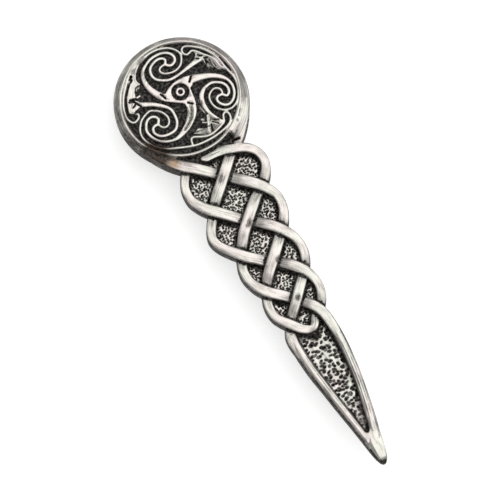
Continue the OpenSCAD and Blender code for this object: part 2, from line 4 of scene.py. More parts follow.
import bpy
import numpy as np
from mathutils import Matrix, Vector
from mathutils.kdtree import KDTree

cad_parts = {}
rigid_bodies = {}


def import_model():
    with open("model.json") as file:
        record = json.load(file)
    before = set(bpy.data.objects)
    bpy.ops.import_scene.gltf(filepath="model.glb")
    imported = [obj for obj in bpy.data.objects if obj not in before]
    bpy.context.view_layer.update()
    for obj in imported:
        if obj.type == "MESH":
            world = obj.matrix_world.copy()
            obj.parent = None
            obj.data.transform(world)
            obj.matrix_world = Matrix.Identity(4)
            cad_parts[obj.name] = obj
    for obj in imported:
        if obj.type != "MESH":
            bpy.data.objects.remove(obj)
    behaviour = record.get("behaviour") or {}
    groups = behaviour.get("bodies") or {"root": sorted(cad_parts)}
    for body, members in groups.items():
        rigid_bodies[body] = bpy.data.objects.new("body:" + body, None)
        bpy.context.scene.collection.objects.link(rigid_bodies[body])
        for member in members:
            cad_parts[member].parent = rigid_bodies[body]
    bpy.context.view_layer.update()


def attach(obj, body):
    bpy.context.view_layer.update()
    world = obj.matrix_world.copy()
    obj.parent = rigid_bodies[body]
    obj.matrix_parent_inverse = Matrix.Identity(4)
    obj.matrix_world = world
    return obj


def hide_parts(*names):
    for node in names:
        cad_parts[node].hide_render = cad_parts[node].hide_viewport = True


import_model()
bpy.ops.object.select_all(action="DESELECT")

# The head's blank: a disc 26 mm across, cast in pewter with the rest of the front, with a sunk
# field inside a sloping rim. The casting is shaped at a thousand times its size, one unit to the
# millimetre and its back at height 0, and is brought down to size once it is one piece.
FIELD_R = 10.0
DISC_R = 13.0
DISC_Y = 33.1
PAST_BACK = -0.4
RIM_SIDES = 180
# radius and height of each ring of the disc, from the back up over the rim to the field
DISC_ROWS = [
    (12.4, PAST_BACK), (12.6, 0), (13, 0.4), (13, 2.1), (12.88, 2.7), (12.55, 3.2), (12.05, 3.6),
    (11.72, 3.9), (11.45, 3.97), (11.2, 3.8), (11.0, 3.2), (5, 3.2),
]
# the rim is cut down between two directions, where the plait's first strand lies on it
GAP_FROM, GAP_TO, GAP_SOFT = 236, 297, 3
SEAT_Z = 2.6
SEAT_STEP = 0.5
# rings between the first two radii follow the crest, those beyond the second are cut down in the
# gap, and the one inside the third also moves in to the crest
INNER_R, BROW_R, SLOPE_R = 10.5, 11.9, 12.2
WALL_Z = 1
CREST_R = 11.58
# direction in degrees and the crest's radius there, as a share of the disc's
CREST_ROWS = [
    (0, 0.888), (45, 0.895), (90, 0.897), (135, 0.89), (170, 0.905), (200, 0.90), (220, 0.87),
    (250, 0.858), (270, 0.845), (300, 0.838), (320, 0.845), (340, 0.868), (360, 0.888),
]


def turned(rows, sides):
    """A disc raised ring by ring from a flat circle."""
    bpy.ops.mesh.primitive_circle_add(
        vertices=sides, radius=rows[0][0], fill_type="NGON", location=(0, DISC_Y, rows[0][1])
    )
    bpy.ops.object.mode_set(mode="EDIT")
    bpy.ops.mesh.select_all(action="SELECT")
    for (r, z), (next_r, next_z) in zip(rows, rows[1:]):
        bpy.ops.mesh.extrude_region_move(TRANSFORM_OT_translate={"value": (0, 0, next_z - z)})
        bpy.ops.transform.resize(
            value=(next_r / r, next_r / r, 1), center_override=(0, DISC_Y, next_z)
        )
    bpy.ops.mesh.select_all(action="SELECT")
    bpy.ops.mesh.normals_make_consistent(inside=False)
    bpy.ops.object.mode_set(mode="OBJECT")
    bpy.ops.object.transform_apply(location=True)
    return bpy.context.object


def crest_at(angle):
    """Radius of the rim's crest in a direction in degrees."""
    angles, shares = zip(*CREST_ROWS)
    return DISC_R * float(np.interp(angle % 360, angles, shares))


disc = turned(DISC_ROWS, RIM_SIDES)
for vert in disc.data.vertices:
    x, y, z = vert.co.x, vert.co.y - DISC_Y, vert.co.z
    radius, angle = math.hypot(x, y), math.degrees(math.atan2(y, x)) % 360
    if radius < INNER_R or z < WALL_Z:
        continue
    gap = min((angle - GAP_FROM) / GAP_SOFT, (GAP_TO - angle) / GAP_SOFT, 1)
    new_r = radius + (crest_at(angle) - CREST_R if radius < BROW_R else 0)
    if gap > 0 and radius > BROW_R:
        vert.co.z = z + gap * (min(z, SEAT_Z) - z)
        if radius < SLOPE_R:
            new_r = radius + gap * (crest_at(angle) + SEAT_STEP - radius)
    vert.co.x *= new_r / radius
    vert.co.y = DISC_Y + y * new_r / radius
blanks = [disc]

# The triskele: thin round lines that wind into three spirals, three broad arms from a body with
# a boss, and three bird-like heads under the rim, all raised 0.7 mm above the sunk field. In the
# real pin they are cut into the master and come out with the casting.
LINE_W = 0.54
LINE_TOP = 3.9
LINE_STEP = 0.25
CREST_W, CREST_TOP = 0.38, 4.0
SLAB_FOOT = 2.8
# places are shares of the field's radius from the disc's middle, with a width where it isn't the
# common one
LINES = {
    "right_line": [
        (0.955, 0.26), (0.95, 0.30), (0.94, 0.38), (0.90, 0.47), (0.85, 0.535), (0.79, 0.60),
        (0.73, 0.68), (0.68, 0.735), (0.63, 0.77), (0.58, 0.755), (0.52, 0.74), (0.475, 0.77),
        (0.46, 0.825), (0.475, 0.88), (0.52, 0.91), (0.57, 0.90), (0.64, 0.865), (0.71, 0.815),
        (0.78, 0.76), (0.85, 0.685), (0.91, 0.595), (0.96, 0.50), (1.00, 0.39), (1.02, 0.28),
        (1.035, 0.17, 0.07), (1.065, 0.05, 0.06), (1.09, -0.06), (1.09, -0.16), (1.07, -0.26),
        (1.025, -0.375), (0.97, -0.47), (0.91, -0.535), (0.84, -0.58), (0.76, -0.605),
        (0.69, -0.60), (0.62, -0.575), (0.56, -0.53), (0.51, -0.475), (0.48, -0.41),
        (0.465, -0.335), (0.47, -0.26), (0.49, -0.20), (0.535, -0.15), (0.59, -0.12),
        (0.64, -0.105), (0.685, -0.115), (0.725, -0.145), (0.75, -0.19), (0.75, -0.235),
        (0.73, -0.275),
    ],
    "low_line": [
        (-0.235, -0.855), (-0.225, -0.815), (-0.19, -0.77), (-0.13, -0.78), (-0.05, -0.82),
        (0.03, -0.855), (0.12, -0.88), (0.22, -0.875), (0.32, -0.85), (0.42, -0.815),
        (0.50, -0.775), (0.525, -0.71), (0.55, -0.65), (0.60, -0.62), (0.645, -0.645),
        (0.66, -0.70), (0.645, -0.77), (0.60, -0.83), (0.53, -0.875), (0.44, -0.905),
        (0.33, -0.93), (0.20, -0.95), (0.07, -0.955), (-0.06, -0.95), (-0.18, -0.935),
        (-0.30, -0.90), (-0.41, -0.86), (-0.52, -0.815), (-0.63, -0.77), (-0.72, -0.725),
        (-0.81, -0.66), (-0.88, -0.585), (-0.94, -0.50), (-0.985, -0.41), (-1.005, -0.32),
        (-1.00, -0.23), (-0.97, -0.15), (-0.92, -0.075), (-0.86, -0.01), (-0.785, 0.035),
        (-0.71, 0.065), (-0.635, 0.08), (-0.56, 0.045), (-0.495, 0.00), (-0.44, -0.065),
        (-0.405, -0.14), (-0.395, -0.21), (-0.415, -0.28), (-0.46, -0.33), (-0.52, -0.345),
        (-0.58, -0.315), (-0.61, -0.265), (-0.62, -0.23),
    ],
    "left_line": [
        (-0.80, 0.63), (-0.84, 0.58), (-0.89, 0.49), (-0.93, 0.40), (-0.96, 0.31), (-0.98, 0.23),
        (-0.95, 0.19), (-0.895, 0.16), (-0.86, 0.125), (-0.875, 0.075), (-0.925, 0.035),
        (-0.99, 0.015), (-1.04, 0.04), (-1.075, 0.10), (-1.09, 0.17), (-1.075, 0.28),
        (-1.04, 0.39), (-0.99, 0.49, 0.05), (-0.93, 0.59, 0.06), (-0.86, 0.68, 0.07),
        (-0.79, 0.76, 0.075), (-0.71, 0.85, 0.08), (-0.62, 0.93, 0.11), (-0.52, 0.99, 0.13),
        (-0.42, 1.03, 0.13), (-0.32, 1.055, 0.11), (-0.22, 1.08, 0.08), (-0.12, 1.10),
        (-0.02, 1.105), (0.08, 1.095), (0.17, 1.07), (0.25, 1.035), (0.32, 0.98), (0.37, 0.92),
        (0.40, 0.86), (0.41, 0.805), (0.395, 0.745), (0.36, 0.68), (0.31, 0.62), (0.24, 0.58),
        (0.16, 0.56), (0.08, 0.565), (0.01, 0.585), (-0.05, 0.615), (-0.09, 0.66), (-0.095, 0.71),
        (-0.06, 0.75), (0.00, 0.765), (0.05, 0.77),
    ],
    "right_fork": [
        (1.02, 0.165), (0.968, 0.22), (0.955, 0.28),
    ],
    "low_fork": [
        (-0.24, -0.91), (-0.235, -0.86), (-0.22, -0.81),
    ],
    "left_fork": [
        (-0.69, 0.79), (-0.72, 0.72), (-0.775, 0.66), (-0.815, 0.61),
    ],
    "top_neck": [
        (0.045, 0.765), (0.08, 0.80), (0.10, 0.845), (0.08, 0.88), (0.03, 0.91), (-0.03, 0.92),
        (-0.10, 0.905), (-0.17, 0.875), (-0.225, 0.835), (-0.26, 0.78), (-0.275, 0.715),
        (-0.27, 0.65), (-0.245, 0.59), (-0.20, 0.545), (-0.14, 0.505), (-0.07, 0.47), (0.01, 0.45),
        (0.10, 0.45), (0.20, 0.46), (0.30, 0.48, 0.06), (0.40, 0.50, 0.075), (0.50, 0.52, 0.09),
        (0.60, 0.54, 0.105), (0.70, 0.55, 0.11),
    ],
    "right_neck": [
        (0.725, -0.27), (0.76, -0.32), (0.795, -0.35), (0.835, -0.33), (0.87, -0.29),
        (0.885, -0.23), (0.88, -0.17), (0.855, -0.11), (0.81, -0.06), (0.75, -0.02), (0.69, 0.01),
        (0.63, 0.02), (0.56, 0.01, 0.055), (0.49, -0.01, 0.065), (0.43, -0.05, 0.08),
        (0.375, -0.105, 0.095), (0.34, -0.18, 0.1), (0.32, -0.27, 0.09), (0.32, -0.36, 0.08),
        (0.33, -0.45, 0.07), (0.36, -0.54, 0.06), (0.40, -0.62), (0.435, -0.70), (0.48, -0.76),
    ],
    "low_neck": [
        (-0.615, -0.235), (-0.67, -0.225), (-0.725, -0.24), (-0.76, -0.28), (-0.77, -0.34),
        (-0.745, -0.40), (-0.70, -0.45), (-0.63, -0.485), (-0.55, -0.50), (-0.46, -0.50),
        (-0.38, -0.475), (-0.32, -0.415), (-0.28, -0.34), (-0.265, -0.26), (-0.26, -0.17),
        (-0.27, -0.09), (-0.31, -0.02, 0.06), (-0.37, 0.045, 0.07), (-0.44, 0.105, 0.08),
        (-0.52, 0.165, 0.085), (-0.60, 0.21, 0.09), (-0.68, 0.25, 0.1), (-0.75, 0.29, 0.1),
    ],
    "wing_edge": [
        (-0.39, 1.01), (-0.46, 0.95), (-0.52, 0.89), (-0.57, 0.82), (-0.595, 0.75), (-0.585, 0.68),
        (-0.56, 0.63),
    ],
}
ARMS = {
    "left_arm": [
        (-0.29, 0.20, 0.15), (-0.34, 0.28, 0.14), (-0.39, 0.37, 0.13), (-0.43, 0.47, 0.115),
        (-0.45, 0.57, 0.10), (-0.45, 0.66, 0.09), (-0.435, 0.74, 0.075), (-0.40, 0.82, 0.065),
        (-0.34, 0.885, 0.06), (-0.26, 0.935, 0.05), (-0.17, 0.98), (-0.08, 1.00), (0.02, 1.005),
        (0.10, 0.995), (0.18, 0.96), (0.24, 0.91), (0.27, 0.85), (0.275, 0.795), (0.25, 0.74),
        (0.20, 0.705), (0.15, 0.695), (0.10, 0.715), (0.07, 0.745), (0.055, 0.76),
    ],
    "right_arm": [
        (0.26, 0.26, 0.18), (0.36, 0.265, 0.175), (0.46, 0.245, 0.155), (0.56, 0.215, 0.13),
        (0.66, 0.18, 0.115), (0.75, 0.135, 0.10), (0.83, 0.08, 0.09), (0.90, 0.015, 0.08),
        (0.95, -0.06, 0.055), (0.975, -0.13), (0.985, -0.21), (0.97, -0.295), (0.935, -0.38),
        (0.88, -0.45), (0.815, -0.495), (0.75, -0.515), (0.69, -0.50), (0.64, -0.465),
        (0.60, -0.41), (0.585, -0.35), (0.60, -0.30), (0.64, -0.275), (0.69, -0.275),
        (0.735, -0.28),
    ],
    "low_arm": [
        (0.115, -0.08, 0.20), (0.11, -0.17, 0.20), (0.085, -0.26, 0.20), (0.035, -0.35, 0.185),
        (-0.04, -0.43, 0.165), (-0.13, -0.51, 0.145), (-0.23, -0.57, 0.12), (-0.33, -0.615, 0.095),
        (-0.43, -0.645, 0.07), (-0.53, -0.64, 0.05), (-0.62, -0.615), (-0.69, -0.58),
        (-0.76, -0.53), (-0.815, -0.46), (-0.855, -0.38), (-0.875, -0.30), (-0.875, -0.23),
        (-0.85, -0.17), (-0.815, -0.11), (-0.76, -0.06), (-0.69, -0.04), (-0.63, -0.055),
        (-0.585, -0.095), (-0.57, -0.14), (-0.595, -0.19), (-0.625, -0.225),
    ],
}
BODY = [
    (-0.36, 0.30), (-0.22, 0.245), (-0.12, 0.31), (0.00, 0.36), (0.12, 0.375), (0.25, 0.375),
    (0.37, 0.345), (0.33, 0.155), (0.255, 0.12), (0.24, 0.00), (0.23, -0.10), (0.20, -0.22),
    (0.01, -0.20), (0.01, -0.12), (-0.02, -0.08), (-0.10, -0.03), (-0.20, 0.04), (-0.29, 0.10),
    (-0.36, 0.18),
]
WING = [
    (-0.62, 0.89), (-0.52, 0.93), (-0.565, 0.85), (-0.60, 0.77), (-0.58, 0.69), (-0.57, 0.64),
    (-0.62, 0.63), (-0.66, 0.62), (-0.71, 0.55), (-0.73, 0.48), (-0.76, 0.44), (-0.86, 0.46),
    (-0.89, 0.50), (-0.83, 0.60), (-0.77, 0.67), (-0.71, 0.73), (-0.66, 0.78), (-0.65, 0.83),
]
LEFT_HEAD = [
    (-0.96, 0.22), (-0.94, 0.32), (-0.91, 0.41), (-0.83, 0.39), (-0.79, 0.34), (-0.74, 0.24),
    (-0.83, 0.22), (-0.90, 0.20),
]
RIGHT_HEAD = [
    (0.63, 0.775), (0.68, 0.76), (0.73, 0.70), (0.78, 0.63), (0.81, 0.57), (0.76, 0.55),
    (0.71, 0.55), (0.65, 0.59), (0.63, 0.63), (0.66, 0.69),
]
RIGHT_WING = [
    (0.74, 0.55), (0.84, 0.53), (0.90, 0.46), (0.94, 0.37), (0.95, 0.29), (0.97, 0.215),
    (1.03, 0.15), (1.03, 0.10), (0.96, 0.17), (0.90, 0.19), (0.87, 0.26), (0.83, 0.36),
    (0.80, 0.45), (0.74, 0.50),
]
LOW_WING = [
    (0.20, -0.62), (0.29, -0.52), (0.36, -0.56), (0.42, -0.69), (0.48, -0.77), (0.40, -0.81),
    (0.25, -0.86), (0.13, -0.86), (0.05, -0.83), (-0.04, -0.77), (-0.13, -0.71), (0.00, -0.65),
    (0.09, -0.70), (0.18, -0.73),
]
BARS = [
    (0.12, -0.59, 0.24, -0.68), (0.29, -0.50, 0.15, -0.82), (0.29, -0.66, 0.46, -0.79),
    (0.74, 0.55, 0.72, 0.40), (0.62, 0.63, 0.74, 0.54), (0.75, 0.64, 0.81, 0.55),
    (-0.74, 0.43, -0.65, 0.44), (-0.91, 0.29, -0.83, 0.36), (-0.80, 0.39, -0.72, 0.305),
]
ROUND_SECTION = [
    (-0.72, -1.8), (-0.5, -0.62), (-0.42, -0.22), (-0.22, -0.03), (0, 0), (0.22, -0.03),
    (0.42, -0.22), (0.5, -0.62), (0.72, -1.8),
]
FLAT_SECTION = [
    (-0.56, -0.9), (-0.5, -0.16), (-0.42, -0.04), (-0.2, 0), (0.2, 0), (0.42, -0.04),
    (0.5, -0.16), (0.56, -0.9),
]


def smooth(rows, step):
    """A path through every row of a table, with places about a step apart."""
    table = np.array(rows, float)
    ends = np.vstack([2 * table[0] - table[1], table, 2 * table[-1] - table[-2]])
    places = []
    for a, b, c, d in zip(ends, ends[1:], ends[2:], ends[3:]):
        parts = max(int(np.linalg.norm((c - b)[:2]) / step), 1)
        for t in np.arange(parts) / parts:
            places.append(
                0.5 * (2 * b + (c - a) * t + (2 * a - 5 * b + 4 * c - d) * t**2
                       + (3 * b - a - 3 * c + d) * t**3)
            )
    return np.array(places + [table[-1]])


def outline(name, points):
    """A closed flat outline."""
    bpy.ops.curve.primitive_bezier_circle_add(radius=1, location=(0, 0, 0))
    shape = bpy.context.object
    shape.name = name
    shape.data.dimensions = "2D"
    shape.data.splines.clear()
    spline = shape.data.splines.new("POLY")
    spline.points.add(len(points) - 1)
    for corner, (x, y) in zip(spline.points, points):
        corner.co = (x, y, 0, 1)
    spline.use_cyclic_u = True
    return shape


def run(path, section, closed=False):
    """A solid run of a section along places of x, y, height and width."""
    bpy.ops.curve.primitive_bezier_curve_add(location=(0, 0, 0))
    bar = bpy.context.object
    bar.data.twist_mode = "Z_UP"
    bar.data.splines.clear()
    spline = bar.data.splines.new("POLY")
    spline.points.add(len(path) - 1)
    for place, (x, y, z, width) in zip(spline.points, path):
        place.co = (x, y, z, 1)
        place.radius = width
    spline.use_cyclic_u = closed
    bar.data.bevel_mode = "OBJECT"
    bar.data.bevel_object = section
    bar.data.use_fill_caps = not closed
    bpy.ops.object.convert(target="MESH")
    blanks.append(bar)


def slab(points, foot, top, soften):
    """A flat raised part with softened edges."""
    shape = outline("slab", points)
    shape.data.fill_mode = "BOTH"
    shape.data.extrude = (top - foot) / 2 - soften
    shape.data.bevel_depth = soften
    shape.data.bevel_resolution = 1
    shape.data.offset = -soften
    shape.location.z = (top + foot) / 2
    bpy.ops.object.convert(target="MESH")
    bpy.ops.object.transform_apply(location=True)
    blanks.append(shape)


def on_field(rows, top):
    """Rows of the field in millimetres, with their height and widths."""
    return [
        (p[0] * FIELD_R, DISC_Y + p[1] * FIELD_R, top, p[2] * FIELD_R if len(p) > 2 else LINE_W)
        for p in rows
    ]


round_section = outline("round_section", ROUND_SECTION)
flat_section = outline("flat_section", FLAT_SECTION)
for name, rows in LINES.items():
    section = flat_section if name.endswith("neck") else round_section
    run(smooth(on_field(rows, LINE_TOP), LINE_STEP), section)
for rows in ARMS.values():
    run(smooth(on_field(rows, LINE_TOP), LINE_STEP), flat_section)
for x0, y0, x1, y1 in BARS:
    run(on_field([(x0, y0), (x1, y1)], LINE_TOP - 0.05), round_section)
# each raised part's outline, its height and how far its edge is softened
for points, top, soften in (
    (WING, 3.85, 0.22), (LEFT_HEAD, 3.75, 0.15), (RIGHT_HEAD, 3.75, 0.15),
    (RIGHT_WING, 3.65, 0.12), (LOW_WING, 3.65, 0.12), (BODY, 3.93, 0.1),
):
    slab([place[:2] for place in on_field(points, top)], SLAB_FOOT, top, soften)
crest = [
    (crest_at(a) * math.cos(math.radians(a)), DISC_Y + crest_at(a) * math.sin(math.radians(a)),
     CREST_TOP, CREST_W)
    for a in range(0, 360, 3)
]
run(crest, round_section, closed=True)

# The plait: four strands 2 mm wide, woven over and under down to the blade, with sunk cells
# between them. They are part of the casting, with upright walls outside.
PLAIT_Y = DISC_Y - FIELD_R
PLAIT_HALF = 10.0
PLAIT_PITCH = 10.0
STRAND_W = 2.0
STRAND_TOP = 3.0
STRAND_STEP = 0.3
CELL_Z = 1.6
SHARP = 0.02
# places are shares of the plait's half width and pitch from the foot of the field, then width and
# height as shares of a strand's
STRANDS = {
    "rim_strand": [
        (-1.165, 0.78, 0.55, 1.06), (-1.12, 0.63, 0.75, 1.15), (-1.06, 0.50, 0.90, 1.20),
        (-0.99, 0.36, 1.00, 1.22), (-0.88, 0.19, 1.10, 1.22),
        (-0.74, 0.00, 1.15, 1.18), (-0.58, -0.17, 1.12, 1.10), (-0.40, -0.31, 1.06, 1.03),
        (-0.23, -0.46, 1.00, 0.95), (-0.11, -0.57, 1.00, 0.84), (0.01, -0.68, 1.00, 0.78),
        (0.13, -0.79, 1.00, 0.84), (0.26, -0.91, 1.04, 0.97), (0.39, -1.04, 1.05, 1.03),
        (0.51, -1.17, 1.00, 1.03), (0.62, -1.32, 0.90, 0.98), (0.70, -1.48, 0.80, 0.95),
        (0.71, -1.64, 0.80, 0.93), (0.67, -1.81, 0.86, 0.92), (0.59, -1.96, 0.95, 0.88),
        (0.49, -2.10, 1.00, 0.79), (0.36, -2.23, 1.00, 0.86), (0.23, -2.36, 1.05, 0.97),
        (0.10, -2.49, 1.05, 1.02), (-0.03, -2.62, 1.05, 1.02), (-0.17, -2.76, 1.00, 0.94),
        (-0.28, -2.89, 0.95, 0.79), (-0.375, -3.06, 0.90, 0.78), (-0.45, -3.23, 0.85, 0.87),
        (-0.48, -3.40, 0.80, 0.93), (-0.46, -3.555, 0.80, 0.95), (-0.385, -3.69, 0.86, 0.99),
        (-0.28, -3.825, 0.90, 1.02), (-0.16, -3.97, 0.86, 1.00), (-0.03, -4.06, 0.76, 0.97),
        (0.05, -4.075, 0.70, 0.96), (0.12, -4.02, 0.72, 0.90), (0.19, -3.91, 0.75, 0.80),
        (0.29, -3.81, 0.75, 0.77),
    ],
    "top_strand": [
        (-0.23, -0.20, 0.25, 1.00), (-0.13, -0.215, 0.75, 1.00), (0.04, -0.215, 0.85, 1.01),
        (0.22, -0.235, 0.90, 1.01), (0.38, -0.29, 0.90, 1.01), (0.53, -0.34, 0.88, 1.00),
        (0.67, -0.42, 0.85, 0.98), (0.78, -0.55, 0.80, 0.96), (0.825, -0.70, 0.80, 0.95),
        (0.81, -0.84, 0.80, 0.94), (0.74, -0.98, 0.90, 0.92), (0.64, -1.10, 0.95, 0.87),
        (0.52, -1.20, 0.95, 0.79), (0.43, -1.27, 0.95, 0.78), (0.33, -1.34, 1.00, 0.86),
        (0.20, -1.46, 1.05, 0.97), (0.07, -1.58, 1.05, 1.02), (-0.06, -1.71, 1.05, 1.02),
        (-0.19, -1.84, 1.05, 0.98), (-0.30, -1.98, 1.00, 0.87), (-0.42, -2.14, 0.95, 0.77),
        (-0.495, -2.30, 0.90, 0.84), (-0.555, -2.46, 0.85, 0.92), (-0.57, -2.61, 0.85, 0.94),
        (-0.54, -2.77, 0.85, 0.97), (-0.465, -2.93, 0.95, 1.02), (-0.35, -3.08, 1.00, 1.03),
        (-0.21, -3.20, 1.00, 0.98), (-0.08, -3.31, 0.95, 0.90), (0.05, -3.44, 0.90, 0.77),
        (0.15, -3.55, 0.90, 0.87), (0.25, -3.67, 0.94, 0.98), (0.33, -3.81, 0.95, 1.02),
        (0.375, -3.96, 0.93, 0.99), (0.395, -4.1, 0.92, 0.95), (0.405, -4.25, 0.86, 0.92),
        (0.41, -4.42, 0.7, 0.88), (0.41, -4.6, 0.5, 0.8),
    ],
    "steep_strand": [
        (0.38, -0.30, 1.00, 0.80), (0.28, -0.40, 1.00, 0.90), (0.16, -0.52, 1.05, 1.00),
        (0.03, -0.65, 1.05, 1.02), (-0.10, -0.78, 1.05, 1.00), (-0.23, -0.90, 1.05, 0.97),
        (-0.36, -1.03, 1.00, 0.87), (-0.49, -1.18, 0.95, 0.77), (-0.60, -1.34, 0.95, 0.84),
        (-0.71, -1.50, 0.90, 0.90), (-0.77, -1.67, 0.85, 0.94), (-0.74, -1.825, 0.84, 0.96),
        (-0.64, -1.985, 0.88, 0.99), (-0.515, -2.135, 0.95, 1.03), (-0.39, -2.28, 1.05, 1.03),
        (-0.24, -2.40, 1.00, 0.98), (-0.11, -2.51, 1.00, 0.87), (0.02, -2.60, 0.95, 0.77),
        (0.14, -2.68, 0.95, 0.84), (0.26, -2.79, 1.00, 0.97), (0.37, -2.92, 1.00, 1.03),
        (0.47, -3.06, 0.90, 1.02), (0.53, -3.22, 0.80, 0.97), (0.55, -3.38, 0.76, 0.94),
        (0.52, -3.54, 0.80, 0.88), (0.45, -3.68, 0.84, 0.79), (0.36, -3.80, 0.80, 0.77),
    ],
    "left_strand": [
        (-0.55, -0.23, 0.85, 0.83), (-0.665, -0.37, 0.85, 0.92), (-0.745, -0.52, 0.80, 0.94),
        (-0.775, -0.68, 0.80, 0.95), (-0.76, -0.84, 0.85, 0.97), (-0.685, -0.99, 0.95, 1.00),
        (-0.58, -1.13, 1.04, 1.03), (-0.44, -1.27, 1.05, 1.03), (-0.29, -1.41, 1.00, 0.98),
        (-0.15, -1.54, 1.00, 0.87), (-0.01, -1.66, 0.95, 0.77), (0.12, -1.77, 0.95, 0.84),
        (0.25, -1.89, 1.00, 0.97), (0.38, -2.03, 1.00, 1.03), (0.49, -2.18, 0.95, 1.02),
        (0.58, -2.33, 0.85, 0.97), (0.625, -2.50, 0.80, 0.94), (0.625, -2.66, 0.80, 0.92),
        (0.58, -2.82, 0.85, 0.88), (0.50, -2.96, 0.90, 0.79), (0.39, -3.08, 0.90, 0.84),
        (0.27, -3.21, 0.95, 0.95), (0.14, -3.35, 0.95, 1.02), (0.02, -3.48, 0.95, 1.00),
        (-0.09, -3.59, 0.90, 0.90), (-0.20, -3.70, 0.90, 0.77), (-0.31, -3.85, 0.90, 0.80),
        (-0.38, -4.00, 0.95, 0.88), (-0.40, -4.15, 0.92, 0.90), (-0.41, -4.32, 0.72, 0.87),
        (-0.41, -4.5, 0.5, 0.8),
    ],
}
# the rim's swell that runs out into the plait: direction in degrees, radius, height and width
RIM_TAIL = [
    (-26, 12.0, 3.5, 1.5), (-38, 12.1, 3.65, 1.8), (-48, 12.35, 3.65, 1.9),
    (-57, 12.75, 3.55, 1.9), (-63, 13.2, 3.3, 1.8), (-68, 13.7, 2.9, 1.5),
]
STRAND_SECTION = [
    (-0.55, -1.75), (-0.53, -0.2), (-0.5, -0.08), (-0.42, -0.02), (-0.2, 0), (0, 0),
    (0.2, 0), (0.42, -0.02), (0.5, -0.08), (0.53, -0.2), (0.55, -1.75),
]


def part_of(name, first, last):
    """Some of a strand's places, for the edge of the sunk ground."""
    return [(p[0] * PLAIT_HALF, PLAIT_Y + p[1] * PLAIT_PITCH)
            for p in STRANDS[name][first : last + 1]]


strand_section = outline("strand_section", STRAND_SECTION)
paths = {"rim_tail": smooth(
    [(r * math.cos(math.radians(a)), DISC_Y + r * math.sin(math.radians(a)), z, w)
     for a, r, z, w in RIM_TAIL],
    STRAND_STEP,
)}
run(paths["rim_tail"], strand_section)
for name, rows in STRANDS.items():
    paths[name] = smooth(
        [(p[0] * PLAIT_HALF, PLAIT_Y + p[1] * PLAIT_PITCH, p[3] * STRAND_TOP, p[2] * STRAND_W)
         for p in rows],
        STRAND_STEP,
    )
    run(paths[name], strand_section)
left_side = (
    part_of("left_strand", 0, 6) + part_of("steep_strand", 8, 13) + part_of("top_strand", 21, 25)
    + part_of("rim_strand", 27, 32) + part_of("left_strand", 26, 27)
)
right_side = (
    part_of("top_strand", 5, 11) + part_of("rim_strand", 15, 19) + part_of("left_strand", 14, 18)
    + part_of("steep_strand", 21, 25) + part_of("top_strand", 32, 33)
)
slab(left_side[::-1] + right_side, PAST_BACK, CELL_Z, SHARP)

# The blade: a sunk pitted ground between two borders that run together into a solid point, all
# part of the casting. The point is a low roof, steeper on the left of its ridge.
BLADE_Y = PLAIT_Y - 4 * PLAIT_PITCH
BLADE_L = 29.2
BLADE_HALF = 5.0
INLAY_FOOT = 0.5
END_Z, END_SOFT = 2.28, 0.2
CORNER_Z, CORNER_SOFT = 2.3, 0.25
SHOULDER_IN, SHOULDER_UP = 0.4, 0.7
# places are shares of the blade's length and half width, then width and height as shares of a
# strand's
BORDERS = {
    "left_border": [
        (0.00, -0.74, 0.95, 0.90), (0.10, -0.76, 0.95, 0.92), (0.20, -0.73, 0.96, 0.90),
        (0.30, -0.665, 0.94, 0.88), (0.40, -0.57, 0.90, 0.87), (0.50, -0.485, 0.86, 0.85),
        (0.60, -0.39, 0.84, 0.83), (0.70, -0.29, 0.82, 0.81), (0.78, -0.22, 0.80, 0.79),
        (0.84, -0.175, 0.76, 0.70), (0.90, -0.13, 0.7, 0.55), (0.96, -0.065, 0.65, 0.45),
    ],
    "right_border": [
        (0.00, 0.78, 0.95, 0.90), (0.10, 0.82, 0.95, 0.92), (0.20, 0.81, 0.93, 0.90),
        (0.30, 0.765, 0.92, 0.88), (0.40, 0.70, 0.90, 0.87), (0.50, 0.605, 0.88, 0.85),
        (0.60, 0.485, 0.95, 0.83), (0.70, 0.35, 1.02, 0.81), (0.78, 0.235, 1.03, 0.79),
        (0.84, 0.19, 0.93, 0.70), (0.90, 0.155, 0.75, 0.55), (0.96, 0.08, 0.65, 0.45),
    ],
}
BORDER_SECTION = [
    (-0.52, -1.7), (-0.5, -0.3), (-0.42, -0.17), (-0.3, -0.05), (-0.12, 0), (0.1, 0),
    (0.28, -0.06), (0.42, -0.2), (0.5, -0.36), (0.52, -1.7),
]
# the point's sections: along from the blade's start, how far the left and the right wall lie
# across and how high they are, and how high the ridge is and how far it lies across
POINT_ROWS = [
    (23.2, -0.8, 0.9, 1.9, 1.9, 2.0, 0.0), (23.7, -1.3, 1.6, 1.85, 2.0, 2.3, -0.15),
    (24.6, -1.47, 1.76, 1.7, 2.05, 2.42, -0.4), (25.8, -1.37, 1.58, 1.45, 1.9, 2.36, -0.5),
    (27.0, -1.16, 1.3, 1.2, 1.75, 2.2, -0.5), (28.1, -0.93, 1.0, 1.0, 1.55, 1.95, -0.45),
    (28.8, -0.66, 0.68, 0.85, 1.25, 1.55, -0.3), (29.18, -0.25, 0.25, 0.7, 0.9, 1.05, -0.1),
]
# the rounded end of the sunk ground, as across and along
GROUND_END = [
    (-0.95, 21.5), (-0.65, 22.15), (-0.38, 22.6), (-0.08, 22.8), (0.22, 22.6), (0.5, 22.15),
    (0.8, 21.5), (1.5, 24.6), (-1.3, 24.6),
]
